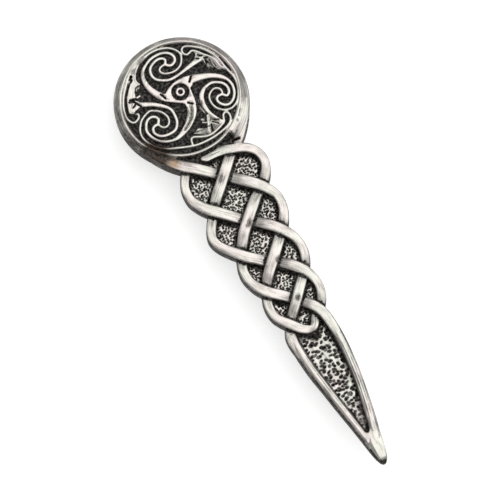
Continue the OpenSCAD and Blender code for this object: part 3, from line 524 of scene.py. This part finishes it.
# the corner under the plait's last loop, as across and along
CORNER = [(-2.5, 0.1), (-1.9, 0.5), (-0.6, 1.3), (0.4, 2.2), (0.95, 1.6), (1.6, 0.8), (1.7, 0.1)]
border_section = outline("border_section", BORDER_SECTION)
for name, border in BORDERS.items():
    paths[name] = smooth(
        [(p[1] * BLADE_HALF, BLADE_Y - p[0] * BLADE_L, p[3] * STRAND_TOP, p[2] * STRAND_W)
         for p in border],
        STRAND_STEP,
    )
    run(paths[name], border_section)
left_edge, right_edge = (
    [(p[1] * BLADE_HALF, BLADE_Y - p[0] * BLADE_L) for p in border] for border in BORDERS.values()
)
slab(left_edge + right_edge[::-1], PAST_BACK, CELL_Z - SHARP, SHARP)
slab([(x, BLADE_Y - along) for x, along in GROUND_END][::-1], INLAY_FOOT, END_Z, END_SOFT)
slab([(x, BLADE_Y - along) for x, along in CORNER], INLAY_FOOT, CORNER_Z, CORNER_SOFT)
bpy.ops.mesh.primitive_circle_add(vertices=6, radius=1, fill_type="NGON")
point = bpy.context.object
bpy.ops.object.mode_set(mode="EDIT")
for _ in POINT_ROWS[1:]:
    bpy.ops.mesh.extrude_region_move(TRANSFORM_OT_translate={"value": (0, 0, 1)})
bpy.ops.object.mode_set(mode="OBJECT")
corners = {}
for vert in point.data.vertices:
    corners.setdefault(round(vert.co.z), []).append(vert)
for level, (along, left, right, left_z, right_z, ridge, lean) in enumerate(POINT_ROWS):
    ring = sorted(corners[level], key=lambda v: math.atan2(v.co.y, v.co.x))
    shoulder = (left + SHOULDER_IN * (lean - left), left_z + SHOULDER_UP * (ridge - left_z))
    section = [
        (left, PAST_BACK), (right, PAST_BACK), (right, right_z), (lean, ridge), shoulder,
        (left, left_z),
    ]
    for vert, (x, z) in zip(ring, section):
        vert.co = (x, BLADE_Y - along, z)
bpy.ops.object.mode_set(mode="EDIT")
bpy.ops.mesh.select_all(action="SELECT")
bpy.ops.mesh.normals_make_consistent(inside=False)
bpy.ops.object.mode_set(mode="OBJECT")
blanks.append(point)

# The one casting: the disc, the raised lines, the plait and the blade are one pour of pewter, so
# all that is above is run together. Its edges are softened a little, and its back is filed flat.
VOXEL = 0.09
FACES = 195000
BACK_Z = 4.8
bpy.ops.object.select_all(action="DESELECT")
for blank in blanks:
    blank.select_set(True)
bpy.context.view_layer.objects.active = disc
bpy.ops.object.join()
casting = bpy.context.object
casting.name = "pewter_casting"


def finish_with(piece, name, kind, **settings):
    """Adds a modifier to a piece and applies it."""
    modifier = piece.modifiers.new(name, kind)
    for key, value in settings.items():
        setattr(modifier, key, value)
    bpy.ops.object.modifier_apply(modifier=modifier.name)


finish_with(casting, "run together", "REMESH", mode="VOXEL", voxel_size=VOXEL)
for shape in (round_section, flat_section, strand_section, border_section):
    bpy.data.objects.remove(shape)
finish_with(casting, "soften", "SMOOTH", factor=0.5, iterations=2)
bpy.ops.object.mode_set(mode="EDIT")
bpy.ops.mesh.select_all(action="SELECT")
bpy.ops.mesh.bisect(plane_co=(0, 0, 0), plane_no=(0, 0, 1), use_fill=True, clear_inner=True)
bpy.ops.object.mode_set(mode="OBJECT")

# The tool marks: pits punched all over the sunk grounds of the plait and the blade, and fine cuts
# in the triskele and along the borders. They were made in the master and are cast in.
MARK_STEP = 0.06
MARK_X, MARK_Y = 13.5, 46.5
BOSS = (0.5, DISC_Y + 1.4)
BOSS_HOLE, MOAT_IN, MOAT_OUT, BOSS_EDGE, BOSS_DEPTH = 0.45, 0.88, 1.72, 0.14, 0.75
STROKE_W = 0.22
# places of each cut from the disc's middle, then its width and depth
CUTS = [
    ([(0.95, -2.0), (0.65, -3.0), (0.05, -4.0), (-0.95, -4.85), (-2.2, -5.6)], 0.75, 0.26),
    ([(-3.0, 2.7), (-2.75, 2.2), (-2.6, 1.6)], 0.42, 0.75),
    ([(2.95, 2.35), (3.3, 2.7), (3.75, 3.2)], 0.42, 0.75),
    ([(0.75, -1.2), (1.05, -1.45), (1.45, -1.8)], 0.42, 0.75),
    ([(-6.75, 7.8), (-6.5, 7.9), (-7.2, 7.4), (-8.0, 6.6), (-8.8, 5.6)], 0.34, 0.5),
    ([(-6.4, 8.45), (-6.3, 8.55)], 0.6, 0.6),
    ([(-9.0, 4.15), (-8.3, 4.0), (-7.9, 3.4), (-7.4, 2.4)], 0.36, 0.6),
    ([(-8.9, 2.9), (-8.4, 3.1), (-8.0, 3.4)], 0.3, 0.55),
    ([(-9.9, 1.9), (-9.4, 1.6), (-8.9, 1.7)], 0.3, 0.4),
    ([(6.3, 5.9), (6.7, 5.6)], 0.34, 0.5), ([(6.9, 6.5), (7.2, 6.1), (7.6, 5.9)], 0.3, 0.5),
    ([(7.7, 5.3), (8.3, 5.1)], 0.3, 0.45), ([(7.2, 4.9), (7.15, 4.0)], 0.3, 0.4),
    ([(7.8, 4.9), (7.9, 3.6)], 0.26, 0.3), ([(8.4, 4.6), (8.4, 3.2)], 0.24, 0.3),
    ([(8.8, 4.0), (8.9, 2.8)], 0.22, 0.25), ([(2.2, -5.6), (1.2, -5.2)], 0.26, 0.3),
    ([(1.9, -6.6), (0.6, -5.9)], 0.3, 0.4), ([(2.2, -7.2), (0.7, -6.7)], 0.22, 0.25),
    ([(3.1, -6.7), (3.9, -7.5)], 0.36, 0.45), ([(2.6, -7.1), (2.3, -8.3)], 0.34, 0.45),
    ([(3.5, -6.4), (4.3, -6.9)], 0.3, 0.4), ([(1.0, -7.2), (-0.8, -7.0)], 0.24, 0.2),
    ([(4.8, -11.65), (6.0, -11.85)], 0.55, 0.8), ([(-1.3, -12.75), (1.8, -12.8)], 0.3, 0.05),
    ([(-1.6, -12.4), (1.5, -12.35)], 0.24, 0.04),
]
# the blade's and the plait's pits: pitch, from and to along the pin, half length and half width
# with their least and most, and how far they turn
PITS = [
    (0.76, -39.6, BLADE_Y - 0.5, (0.3, 0.52), (0.2, 0.32), 0.8),
    (0.5, BLADE_Y - 0.5, 22.0, (0.18, 0.34), (0.12, 0.19), math.pi / 2),
]
PITS_X = 7.6
PIT_DEPTH = (0.25, 0.55)
# the lowest that a mark may go, in the head's field and elsewhere
FIELD_FLOOR, CELL_FLOOR = 3.15, 0.5
marks = np.zeros((int(2 * MARK_X / MARK_STEP) + 1, int(2 * MARK_Y / MARK_STEP) + 1))
pits = np.zeros_like(marks)


def near(sheet, x0, y0, x1, y1):
    """The part of a sheet between two corners, with the places of its points."""
    a, b = (max(int((v + MARK_X) / MARK_STEP), 0) for v in (x0, x1))
    c, d = (max(int((v + MARK_Y) / MARK_STEP), 0) for v in (y0, y1))
    part = sheet[a : b + 1, c : d + 1]
    x = (a + np.arange(part.shape[0]))[:, None] * MARK_STEP - MARK_X
    y = (c + np.arange(part.shape[1]))[None, :] * MARK_STEP - MARK_Y
    return part, x, y


def cut(path, width, depth):
    """Presses a stroke with sloping sides into the front."""
    for (x0, y0), (x1, y1) in zip(path, path[1:]):
        part, x, y = near(
            marks, min(x0, x1) - width, min(y0, y1) - width, max(x0, x1) + width,
            max(y0, y1) + width
        )
        long = (x1 - x0) ** 2 + (y1 - y0) ** 2
        along = np.clip(((x - x0) * (x1 - x0) + (y - y0) * (y1 - y0)) / long, 0, 1)
        off = np.hypot(x - x0 - along * (x1 - x0), y - y0 - along * (y1 - y0))
        np.maximum(part, depth * np.clip(1.6 - 3.2 * off / width, 0, 1), out=part)


for path, width, depth in CUTS:
    cut([(x, DISC_Y + y) for x, y in path], width, depth)
part, x, y = near(marks, BOSS[0] - 2, BOSS[1] - 2, BOSS[0] + 2, BOSS[1] + 2)
off = np.hypot(x - BOSS[0], y - BOSS[1])
moat = np.clip(np.minimum(off - MOAT_IN, MOAT_OUT - off) / BOSS_EDGE, 0, 1)
hole = np.clip((BOSS_HOLE - off) / BOSS_EDGE, 0, 1)
np.maximum(part, BOSS_DEPTH * np.maximum(moat, hole), out=part)
for edge, shift, share in (
    (right_edge, -0.32, 1.2), (right_edge, 0.22, 1.2), (left_edge, 0.25, 1),
):
    for first, last, depth in ((2, 4, 0.04), (3, 7, 0.08), (6, 8, 0.04)):
        cut([(x + shift, y) for x, y in edge[first:last]], STROKE_W, share * depth)
punch = np.random.RandomState(5)
for pitch, from_y, to_y, long_range, wide_range, lean in PITS:
    for place_y in np.arange(from_y, to_y, pitch):
        for place_x in np.arange(-PITS_X, PITS_X + 0.1, pitch):
            shift = pitch * 0.45
            x0 = place_x + punch.uniform(-shift, shift)
            y0 = place_y + punch.uniform(-shift, shift)
            long, wide = punch.uniform(*long_range), punch.uniform(*wide_range)
            turn = punch.uniform(-lean, lean)
            depth = punch.uniform(*PIT_DEPTH) * np.clip((y0 + 40.5) / 8, 0.4, 1)
            part, x, y = near(pits, x0 - 0.7, y0 - 0.7, x0 + 0.7, y0 + 0.7)
            u = ((x - x0) * math.cos(turn) + (y - y0) * math.sin(turn)) / long
            v = ((y - y0) * math.cos(turn) - (x - x0) * math.sin(turn)) / wide
            np.maximum(part, depth * np.clip(1.25 - 1.25 * (u * u + v * v), 0, 1), out=part)


def read(sheet, x, y):
    """A sheet's value at places, smoothly between its points."""
    i, j = (x + MARK_X) / MARK_STEP, (y + MARK_Y) / MARK_STEP
    a, b = i.astype(int), j.astype(int)
    s, t = i - a, j - b
    return ((1 - s) * ((1 - t) * sheet[a, b] + t * sheet[a, b + 1])
            + s * ((1 - t) * sheet[a + 1, b] + t * sheet[a + 1, b + 1]))


def places(piece, what="co"):
    """Places or directions of a mesh's points, as rows of three numbers."""
    flat = np.empty(len(piece.data.vertices) * 3, np.float32)
    piece.data.vertices.foreach_get(what, flat)
    return flat.reshape(-1, 3).astype(float)


co, facing = places(casting), places(casting, "normal")
front = (facing[:, 2] > 0.35) & (co[:, 2] > 0.6)
ground = front & (co[:, 1] < PLAIT_Y - 1) & (co[:, 2] < CELL_Z + 0.35)
drop = np.where(front, read(marks, co[:, 0], co[:, 1]), 0)
drop = np.where(ground, read(pits, co[:, 0], co[:, 1]), drop)
in_field = np.hypot(co[:, 0], co[:, 1] - DISC_Y) < 11.4
lowest = np.where(in_field, FIELD_FLOOR, CELL_FLOOR)
co[:, 2] = np.where(drop > 0, np.maximum(co[:, 2] - drop, np.minimum(co[:, 2], lowest)), co[:, 2])
casting.data.vertices.foreach_set("co", co.astype(np.float32).ravel())
casting.data.update()

# The wear and painted light: the casting is blackened all over, and then its raised work is
# polished bright and its back is filed to a dull grey. A place on the front is as bright as it
# stands open and above what lies round it. Light and shade are painted in as well: shadows where a
# strand dips under another and along the walls of the sunk grounds, lighter sides where they face
# the lamp at the right, and a rim painted darker at its left and lighter at its lower right.
CELL = 0.12
DIRECTIONS = 16
REACHES = (0.2, 0.32, 0.48, 0.7, 1.0, 1.4, 1.9)
LIP_REACH, ROUND_REACH = 0.4, 1.2
BACK_POLISH = 0.78
HOLLOW_POLISH = 0.72
EDGE_POLISH = 0.7
TOP_POLISH = 1.15
FIELD_EDGE = 11.2
GRAIN_Z, FLANK_Z, RIDGE_Z = 3.36, 3.72, 3.66
# polished places of the field, from the disc's middle: across, along, half sizes and polish
BRIGHT_SPOTS = [
    (8.3, 3.6, 1.5, 1.3, 0.84), (0.4, -7.3, 2.2, 0.7, 0.82), (1.75, -4.9, 0.6, 1.4, 0.88),
    (-6.4, 5.6, 0.6, 1.2, 0.82), (3.4, -7.4, 0.9, 0.9, 0.78), (8.3, -6.8, 1.1, 0.7, 0.88),
    (3.1, -1.9, 0.8, 1.2, 0.9), (2.5, -3.7, 0.8, 1.4, 0.92), (-6.1, 6.4, 0.6, 0.9, 0.85),
]
# duller places on the raised lines, with the polish that they lose
DULL_SPOTS = [
    (-3.2, 10.4, 1.8, 1.0, 0.35), (-5.2, 9.1, 1.3, 0.9, 0.3), (-4.1, 7.6, 0.9, 2.2, 0.25),
    (-0.2, -3.6, 0.7, 1.9, 0.3), (3.0, -2.2, 0.4, 1.6, 0.35), (-5.0, 0.5, 1.4, 0.4, 0.25),
]
# hollows that the polishing left grey on the steep strand, as across, along and half length
DIPS = [(-0.7, 15.9, 1.5), (-0.25, 5.8, 1.4), (1.2, -3.0, 1.1), (0.8, -11.2, 1.0)]
DIP_HALF = 0.75
# the radius at which the head's streaks keep their scale, and how far apart the strands' are put
LAY_R = 9
LAY_APART = 60
heights = np.full((int(2 * MARK_X / CELL) + 1, int(2 * MARK_Y / CELL) + 1), -1.0)
columns, rows = ((co[:, 0] + MARK_X) / CELL).astype(int), ((co[:, 1] + MARK_Y) / CELL).astype(int)
np.maximum.at(heights, (columns, rows), co[:, 2])
triangles = sum(len(p.vertices) - 2 for p in casting.data.polygons)
finish_with(casting, "fewer faces", "DECIMATE", ratio=FACES / triangles)
co, facing = places(casting), places(casting, "normal")


def at(sheet, x, y):
    """A sheet's value at places, and -1 beyond it."""
    i, j = ((x + MARK_X) / CELL).astype(int), ((y + MARK_Y) / CELL).astype(int)
    inside = (i >= 0) & (j >= 0) & (i < sheet.shape[0]) & (j < sheet.shape[1])
    return np.where(inside, sheet[np.where(inside, i, 0), np.where(inside, j, 0)], -1)


def spot(x, y, wide, long):
    """1 over the middle of an oval on the disc, falling to 0 at its edge."""
    far = np.hypot((co[:, 0] - x) / wide, (co[:, 1] - DISC_Y - y) / long)
    return np.clip(2 - 2 * far, 0, 1)


from_wall = np.zeros_like(heights)
open_ground = (heights > 0) & (heights < CELL_Z + 0.25)
for _ in range(12):
    from_wall += open_ground * CELL
    for axis in (0, 1):
        open_ground &= np.roll(open_ground, 1, axis) & np.roll(open_ground, -1, axis)
openness, total, count, lip = np.zeros((4, len(co)))
for turn in np.arange(DIRECTIONS) * 2 * math.pi / DIRECTIONS:
    slope = np.zeros(len(co))
    for reach in REACHES:
        height = at(heights, co[:, 0] + reach * math.cos(turn), co[:, 1] + reach * math.sin(turn))
        slope = np.maximum(slope, (height - co[:, 2]) / reach)
        if reach < LIP_REACH:
            lip = np.maximum(lip, height - co[:, 2])
        if reach < ROUND_REACH:
            total += np.where(height > 0, height, 0)
            count += height > 0
    openness += (1 - slope / np.hypot(slope, 1)) / DIRECTIONS
above = co[:, 2] - total / np.maximum(count, 1)
wear_and_light = np.clip(openness + 0.45 * above, 0, 1.2)
on_back = facing[:, 2] < -0.5
wear_and_light = np.where(on_back, BACK_POLISH, wear_and_light)
# the strands and borders, kept bright on top, with painted shadow where one dips under another
raised = (co[:, 2] > CELL_Z + 0.5) & (facing[:, 2] > 0.8) & (co[:, 1] < PLAIT_Y - 1.2)
wear_and_light = np.where(raised, np.maximum(wear_and_light, 0.76 + 0.6 * (openness - 0.6)), wear_and_light)
wear_and_light = np.where(raised, wear_and_light - 0.7 * np.clip((lip - 0.2) / 0.2, 0, 1), wear_and_light)
# the solid point with its dark tip and its sides painted lighter at the right and darker at the
# left as lit and shaded, the recess's right wall painted lighter as lit, and the corner under the
# plait
at_point = (co[:, 1] < BLADE_Y - 24) & (facing[:, 2] > 0.5)
lit_side = np.where(facing[:, 0] > -0.15, 1.08, 0.82)
wear_and_light = np.where(at_point, np.maximum(wear_and_light, lit_side), wear_and_light)
wear_and_light -= 0.5 * np.clip((BLADE_Y - 28.1 - co[:, 1]) / 0.6, 0, 1)
# walls facing right on the blade's right half, painted lighter as the side lit by the lamp
lit_wall = (co[:, 1] < BLADE_Y - 8) & (facing[:, 0] > 0.3) & (co[:, 0] > 0) & (co[:, 2] > 0.8)
wear_and_light = np.where(lit_wall, np.maximum(wear_and_light, 0.88), wear_and_light)
at_corner = (np.hypot(co[:, 0] / 1.7, (co[:, 1] - BLADE_Y + 1.3) / 1.1) < 1) & (co[:, 2] < 2.5)
wear_and_light = np.where(at_corner, np.clip(wear_and_light, 0, 0.78), wear_and_light)
# the sunk grounds: grey by the walls, as patina and as painted shadow that is set towards the upper
# right walls as if cast from the lamp there, and painted lighter on the blade's right half towards
# the point; bright between the pits and black in them
sunk = (co[:, 1] < PLAIT_Y + 1) & (co[:, 1] > BLADE_Y - 23) & (co[:, 2] < CELL_Z + 0.3)
sunk &= facing[:, 2] > 0.1
shade = 0.5 + 0.27 * np.clip((BLADE_Y - 5 - co[:, 1]) / 5, 0, 1) * (co[:, 0] > 0)
clear = np.clip((at(from_wall, co[:, 0] + 0.18, co[:, 1] + 0.18) - 0.1) / 0.45, 0, 1)
pitted = shade + (1 - shade) * clear
tail = np.clip((co[:, 1] + 40) / 8, 0, 1)
pitted = pitted * (0.8 + 0.2 * tail) - 1.1 * read(pits, co[:, 0], co[:, 1])
wear_and_light = np.where(sunk, np.clip(pitted, 0, 1), wear_and_light)
# the head: a black field, bright lines and a rim with painted shade at its left and a painted
# highlight at its lower right
radius = np.hypot(co[:, 0], co[:, 1] - DISC_Y)
angle = np.degrees(np.arctan2(co[:, 1] - DISC_Y, co[:, 0]))
in_head = (radius < FIELD_EDGE) & (co[:, 1] > PLAIT_Y - 1)
wear_and_light = np.where(in_head & (co[:, 2] < GRAIN_Z), 0, wear_and_light)
flanks = in_head & (co[:, 2] > GRAIN_Z) & (co[:, 2] < FLANK_Z)
wear_and_light = np.where(flanks, np.maximum(wear_and_light, EDGE_POLISH), wear_and_light)
for x, y, wide, long, worth in BRIGHT_SPOTS:
    shine = worth * spot(x, y, wide, long)
    wear_and_light = np.where(in_head & (shine > 0), np.maximum(wear_and_light, shine), wear_and_light)
lines = in_head & (co[:, 2] > RIDGE_Z) & (facing[:, 2] > 0.5)
wear_and_light = np.where(lines, np.maximum(wear_and_light, TOP_POLISH), wear_and_light)
for x, y, wide, long, loss in DULL_SPOTS:
    wear_and_light = np.where(lines, wear_and_light - loss * spot(x, y, wide, long), wear_and_light)
on_rim = (radius > 11.3) & (co[:, 1] > PLAIT_Y + 0.5) & (co[:, 2] > 0.7)
# painted highlight on the rim's lower right and painted shade at its left
rim_highlight = np.clip(1 - np.abs(angle + 38) / 34, 0, 1) * np.clip((13.0 - radius) / 0.5, 0, 1)
rim_shade = np.clip(1 - np.abs((angle + 360) % 360 - 205) / 50, 0, 1)
wear_and_light = np.where(on_rim, np.maximum(wear_and_light, 0.8 + 0.22 * rim_highlight) - 0.13 * rim_shade, wear_and_light)
for x, y, long in DIPS:
    u = ((co[:, 0] - x) * 0.66 + (co[:, 1] - y) * 0.75) / long
    v = ((co[:, 1] - y) * 0.66 - (co[:, 0] - x) * 0.75) / DIP_HALF
    dip = np.clip(1.8 - 1.8 * np.hypot(u, v), 0, 1)
    wear_and_light = np.where(raised, wear_and_light - np.maximum(wear_and_light - HOLLOW_POLISH, 0) * dip, wear_and_light)
# how far each place lies along and across its strand, which the polishing's streaks follow
track = KDTree(sum(len(path) for path in paths.values()))
known = []
for number, path in enumerate(paths.values()):
    lengths = np.concatenate([[0], np.cumsum(np.hypot(*np.diff(path[:, :2], axis=0).T))])
    ahead = np.gradient(path[:, :2], axis=0)
    ahead /= np.hypot(ahead[:, 0], ahead[:, 1])[:, None]
    for place, length, way in zip(path, lengths, ahead):
        track.insert(place[:3], len(known))
        known.append((place[0], place[1], length + LAY_APART * number, way[0], way[1]))
track.balance()
nearest = np.array([known[track.find(place)[1]] for place in co])
dx, dy = co[:, 0] - nearest[:, 0], co[:, 1] - nearest[:, 1]
along = nearest[:, 2] + dx * nearest[:, 3] + dy * nearest[:, 4]
across = dy * nearest[:, 3] - dx * nearest[:, 4]
on_head = (co[:, 1] > PLAIT_Y + 1) & ((np.abs(across) > 1.4) | (co[:, 1] > PLAIT_Y + 5))
on_head |= along < LAY_APART * 2 / 3
along = np.where(on_head, LAY_R * np.arctan2(co[:, 0], co[:, 1] - DISC_Y), along)
across = np.where(on_head, radius, across)
along = np.where(on_back, co[:, 1], along)
across = np.where(on_back, co[:, 0], across)
worn_and_lit = casting.data.attributes.new("wear_and_light", "FLOAT", "POINT")
worn_and_lit.data.foreach_set("value", wear_and_light.astype(np.float32))
lay = casting.data.attributes.new("lay", "FLOAT_VECTOR", "POINT")
lay.data.foreach_set(
    "vector", np.stack([along, across, 0 * along], 1).astype(np.float32).ravel()
)
casting.location.z = BACK_Z
bpy.ops.object.transform_apply(location=True)
casting.scale = (0.001, 0.001, 0.001)
bpy.ops.object.transform_apply(scale=True)
bpy.ops.object.shade_smooth_by_angle(angle=math.radians(60))
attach(casting, "root")
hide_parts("casting")


class Tone:
    """A shader value that plain sums can be written with."""

    def __init__(self, tree, socket=None):
        self.tree = tree
        self.socket = socket

    def node(self, kind, settings, values, output=0):
        """Adds a node: its settings first, then the values or links of its sockets."""
        added = self.tree.nodes.new(kind)
        for key, value in settings.items():
            setattr(added, key, value)
        for key, value in values.items():
            if isinstance(value, Tone):
                self.tree.links.new(value.socket, added.inputs[key])
            else:
                added.inputs[key].default_value = value
        return Tone(self.tree, added.outputs[output])

    def sum(self, operation, a, b):
        return self.node("ShaderNodeMath", {"operation": operation}, {0: a, 1: b})

    def __add__(self, other):
        return self.sum("ADD", self, other)

    def __radd__(self, other):
        return self.sum("ADD", other, self)

    def __sub__(self, other):
        return self.sum("SUBTRACT", self, other)

    def __rsub__(self, other):
        return self.sum("SUBTRACT", other, self)

    def __mul__(self, other):
        return self.sum("MULTIPLY", self, other)

    def __rmul__(self, other):
        return self.sum("MULTIPLY", other, self)

    def step(self, low, high):
        """0 below low, 1 above high and a smooth rise between them."""
        return self.node(
            "ShaderNodeMapRange", {"interpolation_type": "SMOOTHSTEP"},
            {"Value": self, "From Min": low, "From Max": high},
        )

    def mix(self, a, b):
        """Colour a where this is 0, and b where it is 1."""
        return self.node("ShaderNodeMix", {"data_type": "RGBA"}, {0: self, 6: a, 7: b}, 2)

    def noise(self, where, scale, detail=2):
        """Soft noise from 0 to 1."""
        return self.node(
            "ShaderNodeTexNoise", {}, {"Vector": where, "Scale": scale, "Detail": detail}, "Fac"
        )

    def close_to(self, where, place, reach):
        """1 at a place, falling to 0 at a reach from it."""
        away = self.node(
            "ShaderNodeVectorMath", {"operation": "DISTANCE"}, {0: where, 1: place}, "Value"
        )
        return 1 - away.step(0, reach)

    def shift(self, where, place, stretch):
        """Places moved and stretched on each axis."""
        return self.node(
            "ShaderNodeMapping", {}, {"Vector": where, "Location": place, "Scale": stretch}
        )


# Antiqued pewter: near black where the wear and painted light value is low, and silver with fine
# streaks where it is high. The silver is patchy, two brown stains lie on it, and a golden one at
# the rim's foot.
SOOT, WORN_BLACK = (0.005, 0.0045, 0.004, 1), (0.11, 0.102, 0.093, 1)
WARM_SILVER, COOL_SILVER = (0.62, 0.568, 0.54, 1), (0.6, 0.592, 0.536, 1)
DULL_SILVER = (0.3, 0.281, 0.259, 1)
BROWN_STAIN, GOLD_STAIN = (0.07, 0.052, 0.04, 1), (0.31, 0.195, 0.105, 1)
pewter = bpy.data.materials.new("pewter")
pewter.use_nodes = True
tone = Tone(pewter.node_tree)
bsdf = pewter.node_tree.nodes["Principled BSDF"]
where = tone.node("ShaderNodeTexCoord", {}, {}, "Object")
worn_and_lit = tone.node("ShaderNodeAttribute", {"attribute_name": "wear_and_light"}, {}, "Fac")
lay = tone.node("ShaderNodeAttribute", {"attribute_name": "lay"}, {}, "Vector")
streaks = tone.noise(tone.shift(lay, (0, 0, 0), (0.3, 5, 1)), 1, 3)
patches = tone.noise(tone.shift(lay, (7, 3, 0), (0.35, 0.9, 1)), 1, 2)
specks = tone.noise(where, 3500, 3)
clouds = tone.noise(where, 500, 2)
bright = worn_and_lit + 0.34 * (streaks - 0.5) + 0.22 * (specks - 0.5) + 0.2 * (clouds - 0.5)
bright = bright.step(0.55, 1.02)
sheen = (0.5 * streaks + 0.5 * patches + 0.4 * (worn_and_lit - 0.9)).step(0.34, 0.64)
black = (0.3 * streaks + 0.7 * tone.noise(where, 2000, 2)).step(0.42, 0.68)
black = black.mix(SOOT, WORN_BLACK)
tint = tone.noise(where, 150, 1).step(0.4, 0.6).mix(WARM_SILVER, COOL_SILVER)
silver = sheen.mix(DULL_SILVER, tint)
brown = 2 * tone.close_to(where, (-0.0096, 0.0255, 0.008), 0.0048) * (clouds + 0.4)
gold = 0.8 * tone.close_to(where, (-0.0071, 0.0226, 0.0083), 0.0019)
brown = brown + 1.6 * tone.close_to(where, (0.0002, -0.0189, 0.0071), 0.0019)
silver = brown.mix(silver, BROWN_STAIN)
silver = gold.mix(silver, GOLD_STAIN)
colour = bright.mix(black, silver)
rough = 0.62 - 0.36 * bright + 0.1 * (streaks - 0.5)
metal = 0.1 + 0.9 * bright
grain = tone.node(
    "ShaderNodeBump", {}, {"Strength": 0.35, "Distance": 0.00004, "Height": streaks + 0.4 * specks},
    "Normal",
)
for key, value in (
    ("Base Color", colour), ("Roughness", rough), ("Metallic", metal), ("Normal", grain)
):
    pewter.node_tree.links.new(value.socket, bsdf.inputs[key])
bsdf.inputs["Specular IOR Level"].default_value = 0.12
casting.data.materials.clear()
casting.data.materials.append(pewter)

# The fitting on the back: one piece of nickel-plated steel wire, bar and folded catch, left as the
# frame brings it. Its plating is even and fairly bright, with fine drawing marks along it.
DULL_PLATE, CLEAN_PLATE = (0.42, 0.42, 0.42, 1), (0.56, 0.56, 0.55, 1)
steel = bpy.data.materials.new("steel")
steel.use_nodes = True
tone = Tone(steel.node_tree)
bsdf = steel.node_tree.nodes["Principled BSDF"]
where = tone.node("ShaderNodeTexCoord", {}, {}, "Object")
drawn = tone.noise(tone.shift(where, (0, 0, 0), (4000, 150, 4000)), 1, 2)
dulled = tone.noise(where, 300, 2)
colour = dulled.step(0.3, 0.7).mix(DULL_PLATE, CLEAN_PLATE)
for key, value in (("Base Color", colour), ("Roughness", 0.22 + 0.2 * drawn)):
    steel.node_tree.links.new(value.socket, bsdf.inputs[key])
bsdf.inputs["Metallic"].default_value = 1
for part in bpy.data.objects:
    if part.type == "MESH" and part.name.startswith("pin_clasp"):
        part.data.materials.clear()
        part.data.materials.append(steel)

# The floor is a plain pale sheet that glows a little, as a light table does. One broad soft lamp
# stands at the upper right, the surroundings are white, and the camera looks down on the face.
bpy.ops.mesh.primitive_plane_add(size=3, location=(0, 0, 0))
floor = bpy.context.object
floor.name = "floor"
paper = bpy.data.materials.new("paper")
paper.use_nodes = True
bsdf = paper.node_tree.nodes["Principled BSDF"]
bsdf.inputs["Base Color"].default_value = (0.7, 0.7, 0.7, 1)
bsdf.inputs["Roughness"].default_value = 0.9
bsdf.inputs["Emission Color"].default_value = (1, 1, 1, 1)
bsdf.inputs["Emission Strength"].default_value = 0.55
floor.data.materials.append(paper)
bpy.ops.object.light_add(type="AREA", location=(0.28, 0.02, 0.6))
lamp = bpy.context.object
lamp.data.size = 0.9
lamp.data.energy = 2.9
lamp.rotation_euler = lamp.location.to_track_quat("Z", "Y").to_euler()
world = bpy.data.worlds.new("studio")
bpy.context.scene.world = world
world.use_nodes = True
background = world.node_tree.nodes["Background"]
background.inputs["Color"].default_value = (1, 1, 1, 1)
background.inputs["Strength"].default_value = 0.58
aim = Vector((-0.00227, 0.00175, 0.0048))
from_aim = Vector((-0.0619, -0.1136, 0.483))
bpy.ops.object.camera_add(location=aim + from_aim)
camera = bpy.context.object
camera.rotation_euler = (camera.location - aim).to_track_quat("Z", "Y").to_euler()
camera.data.sensor_width = 36
camera.data.lens = 191.1
camera.data.clip_start = 0.01
bpy.context.scene.camera = camera
bpy.context.scene.view_settings.view_transform = "Standard"
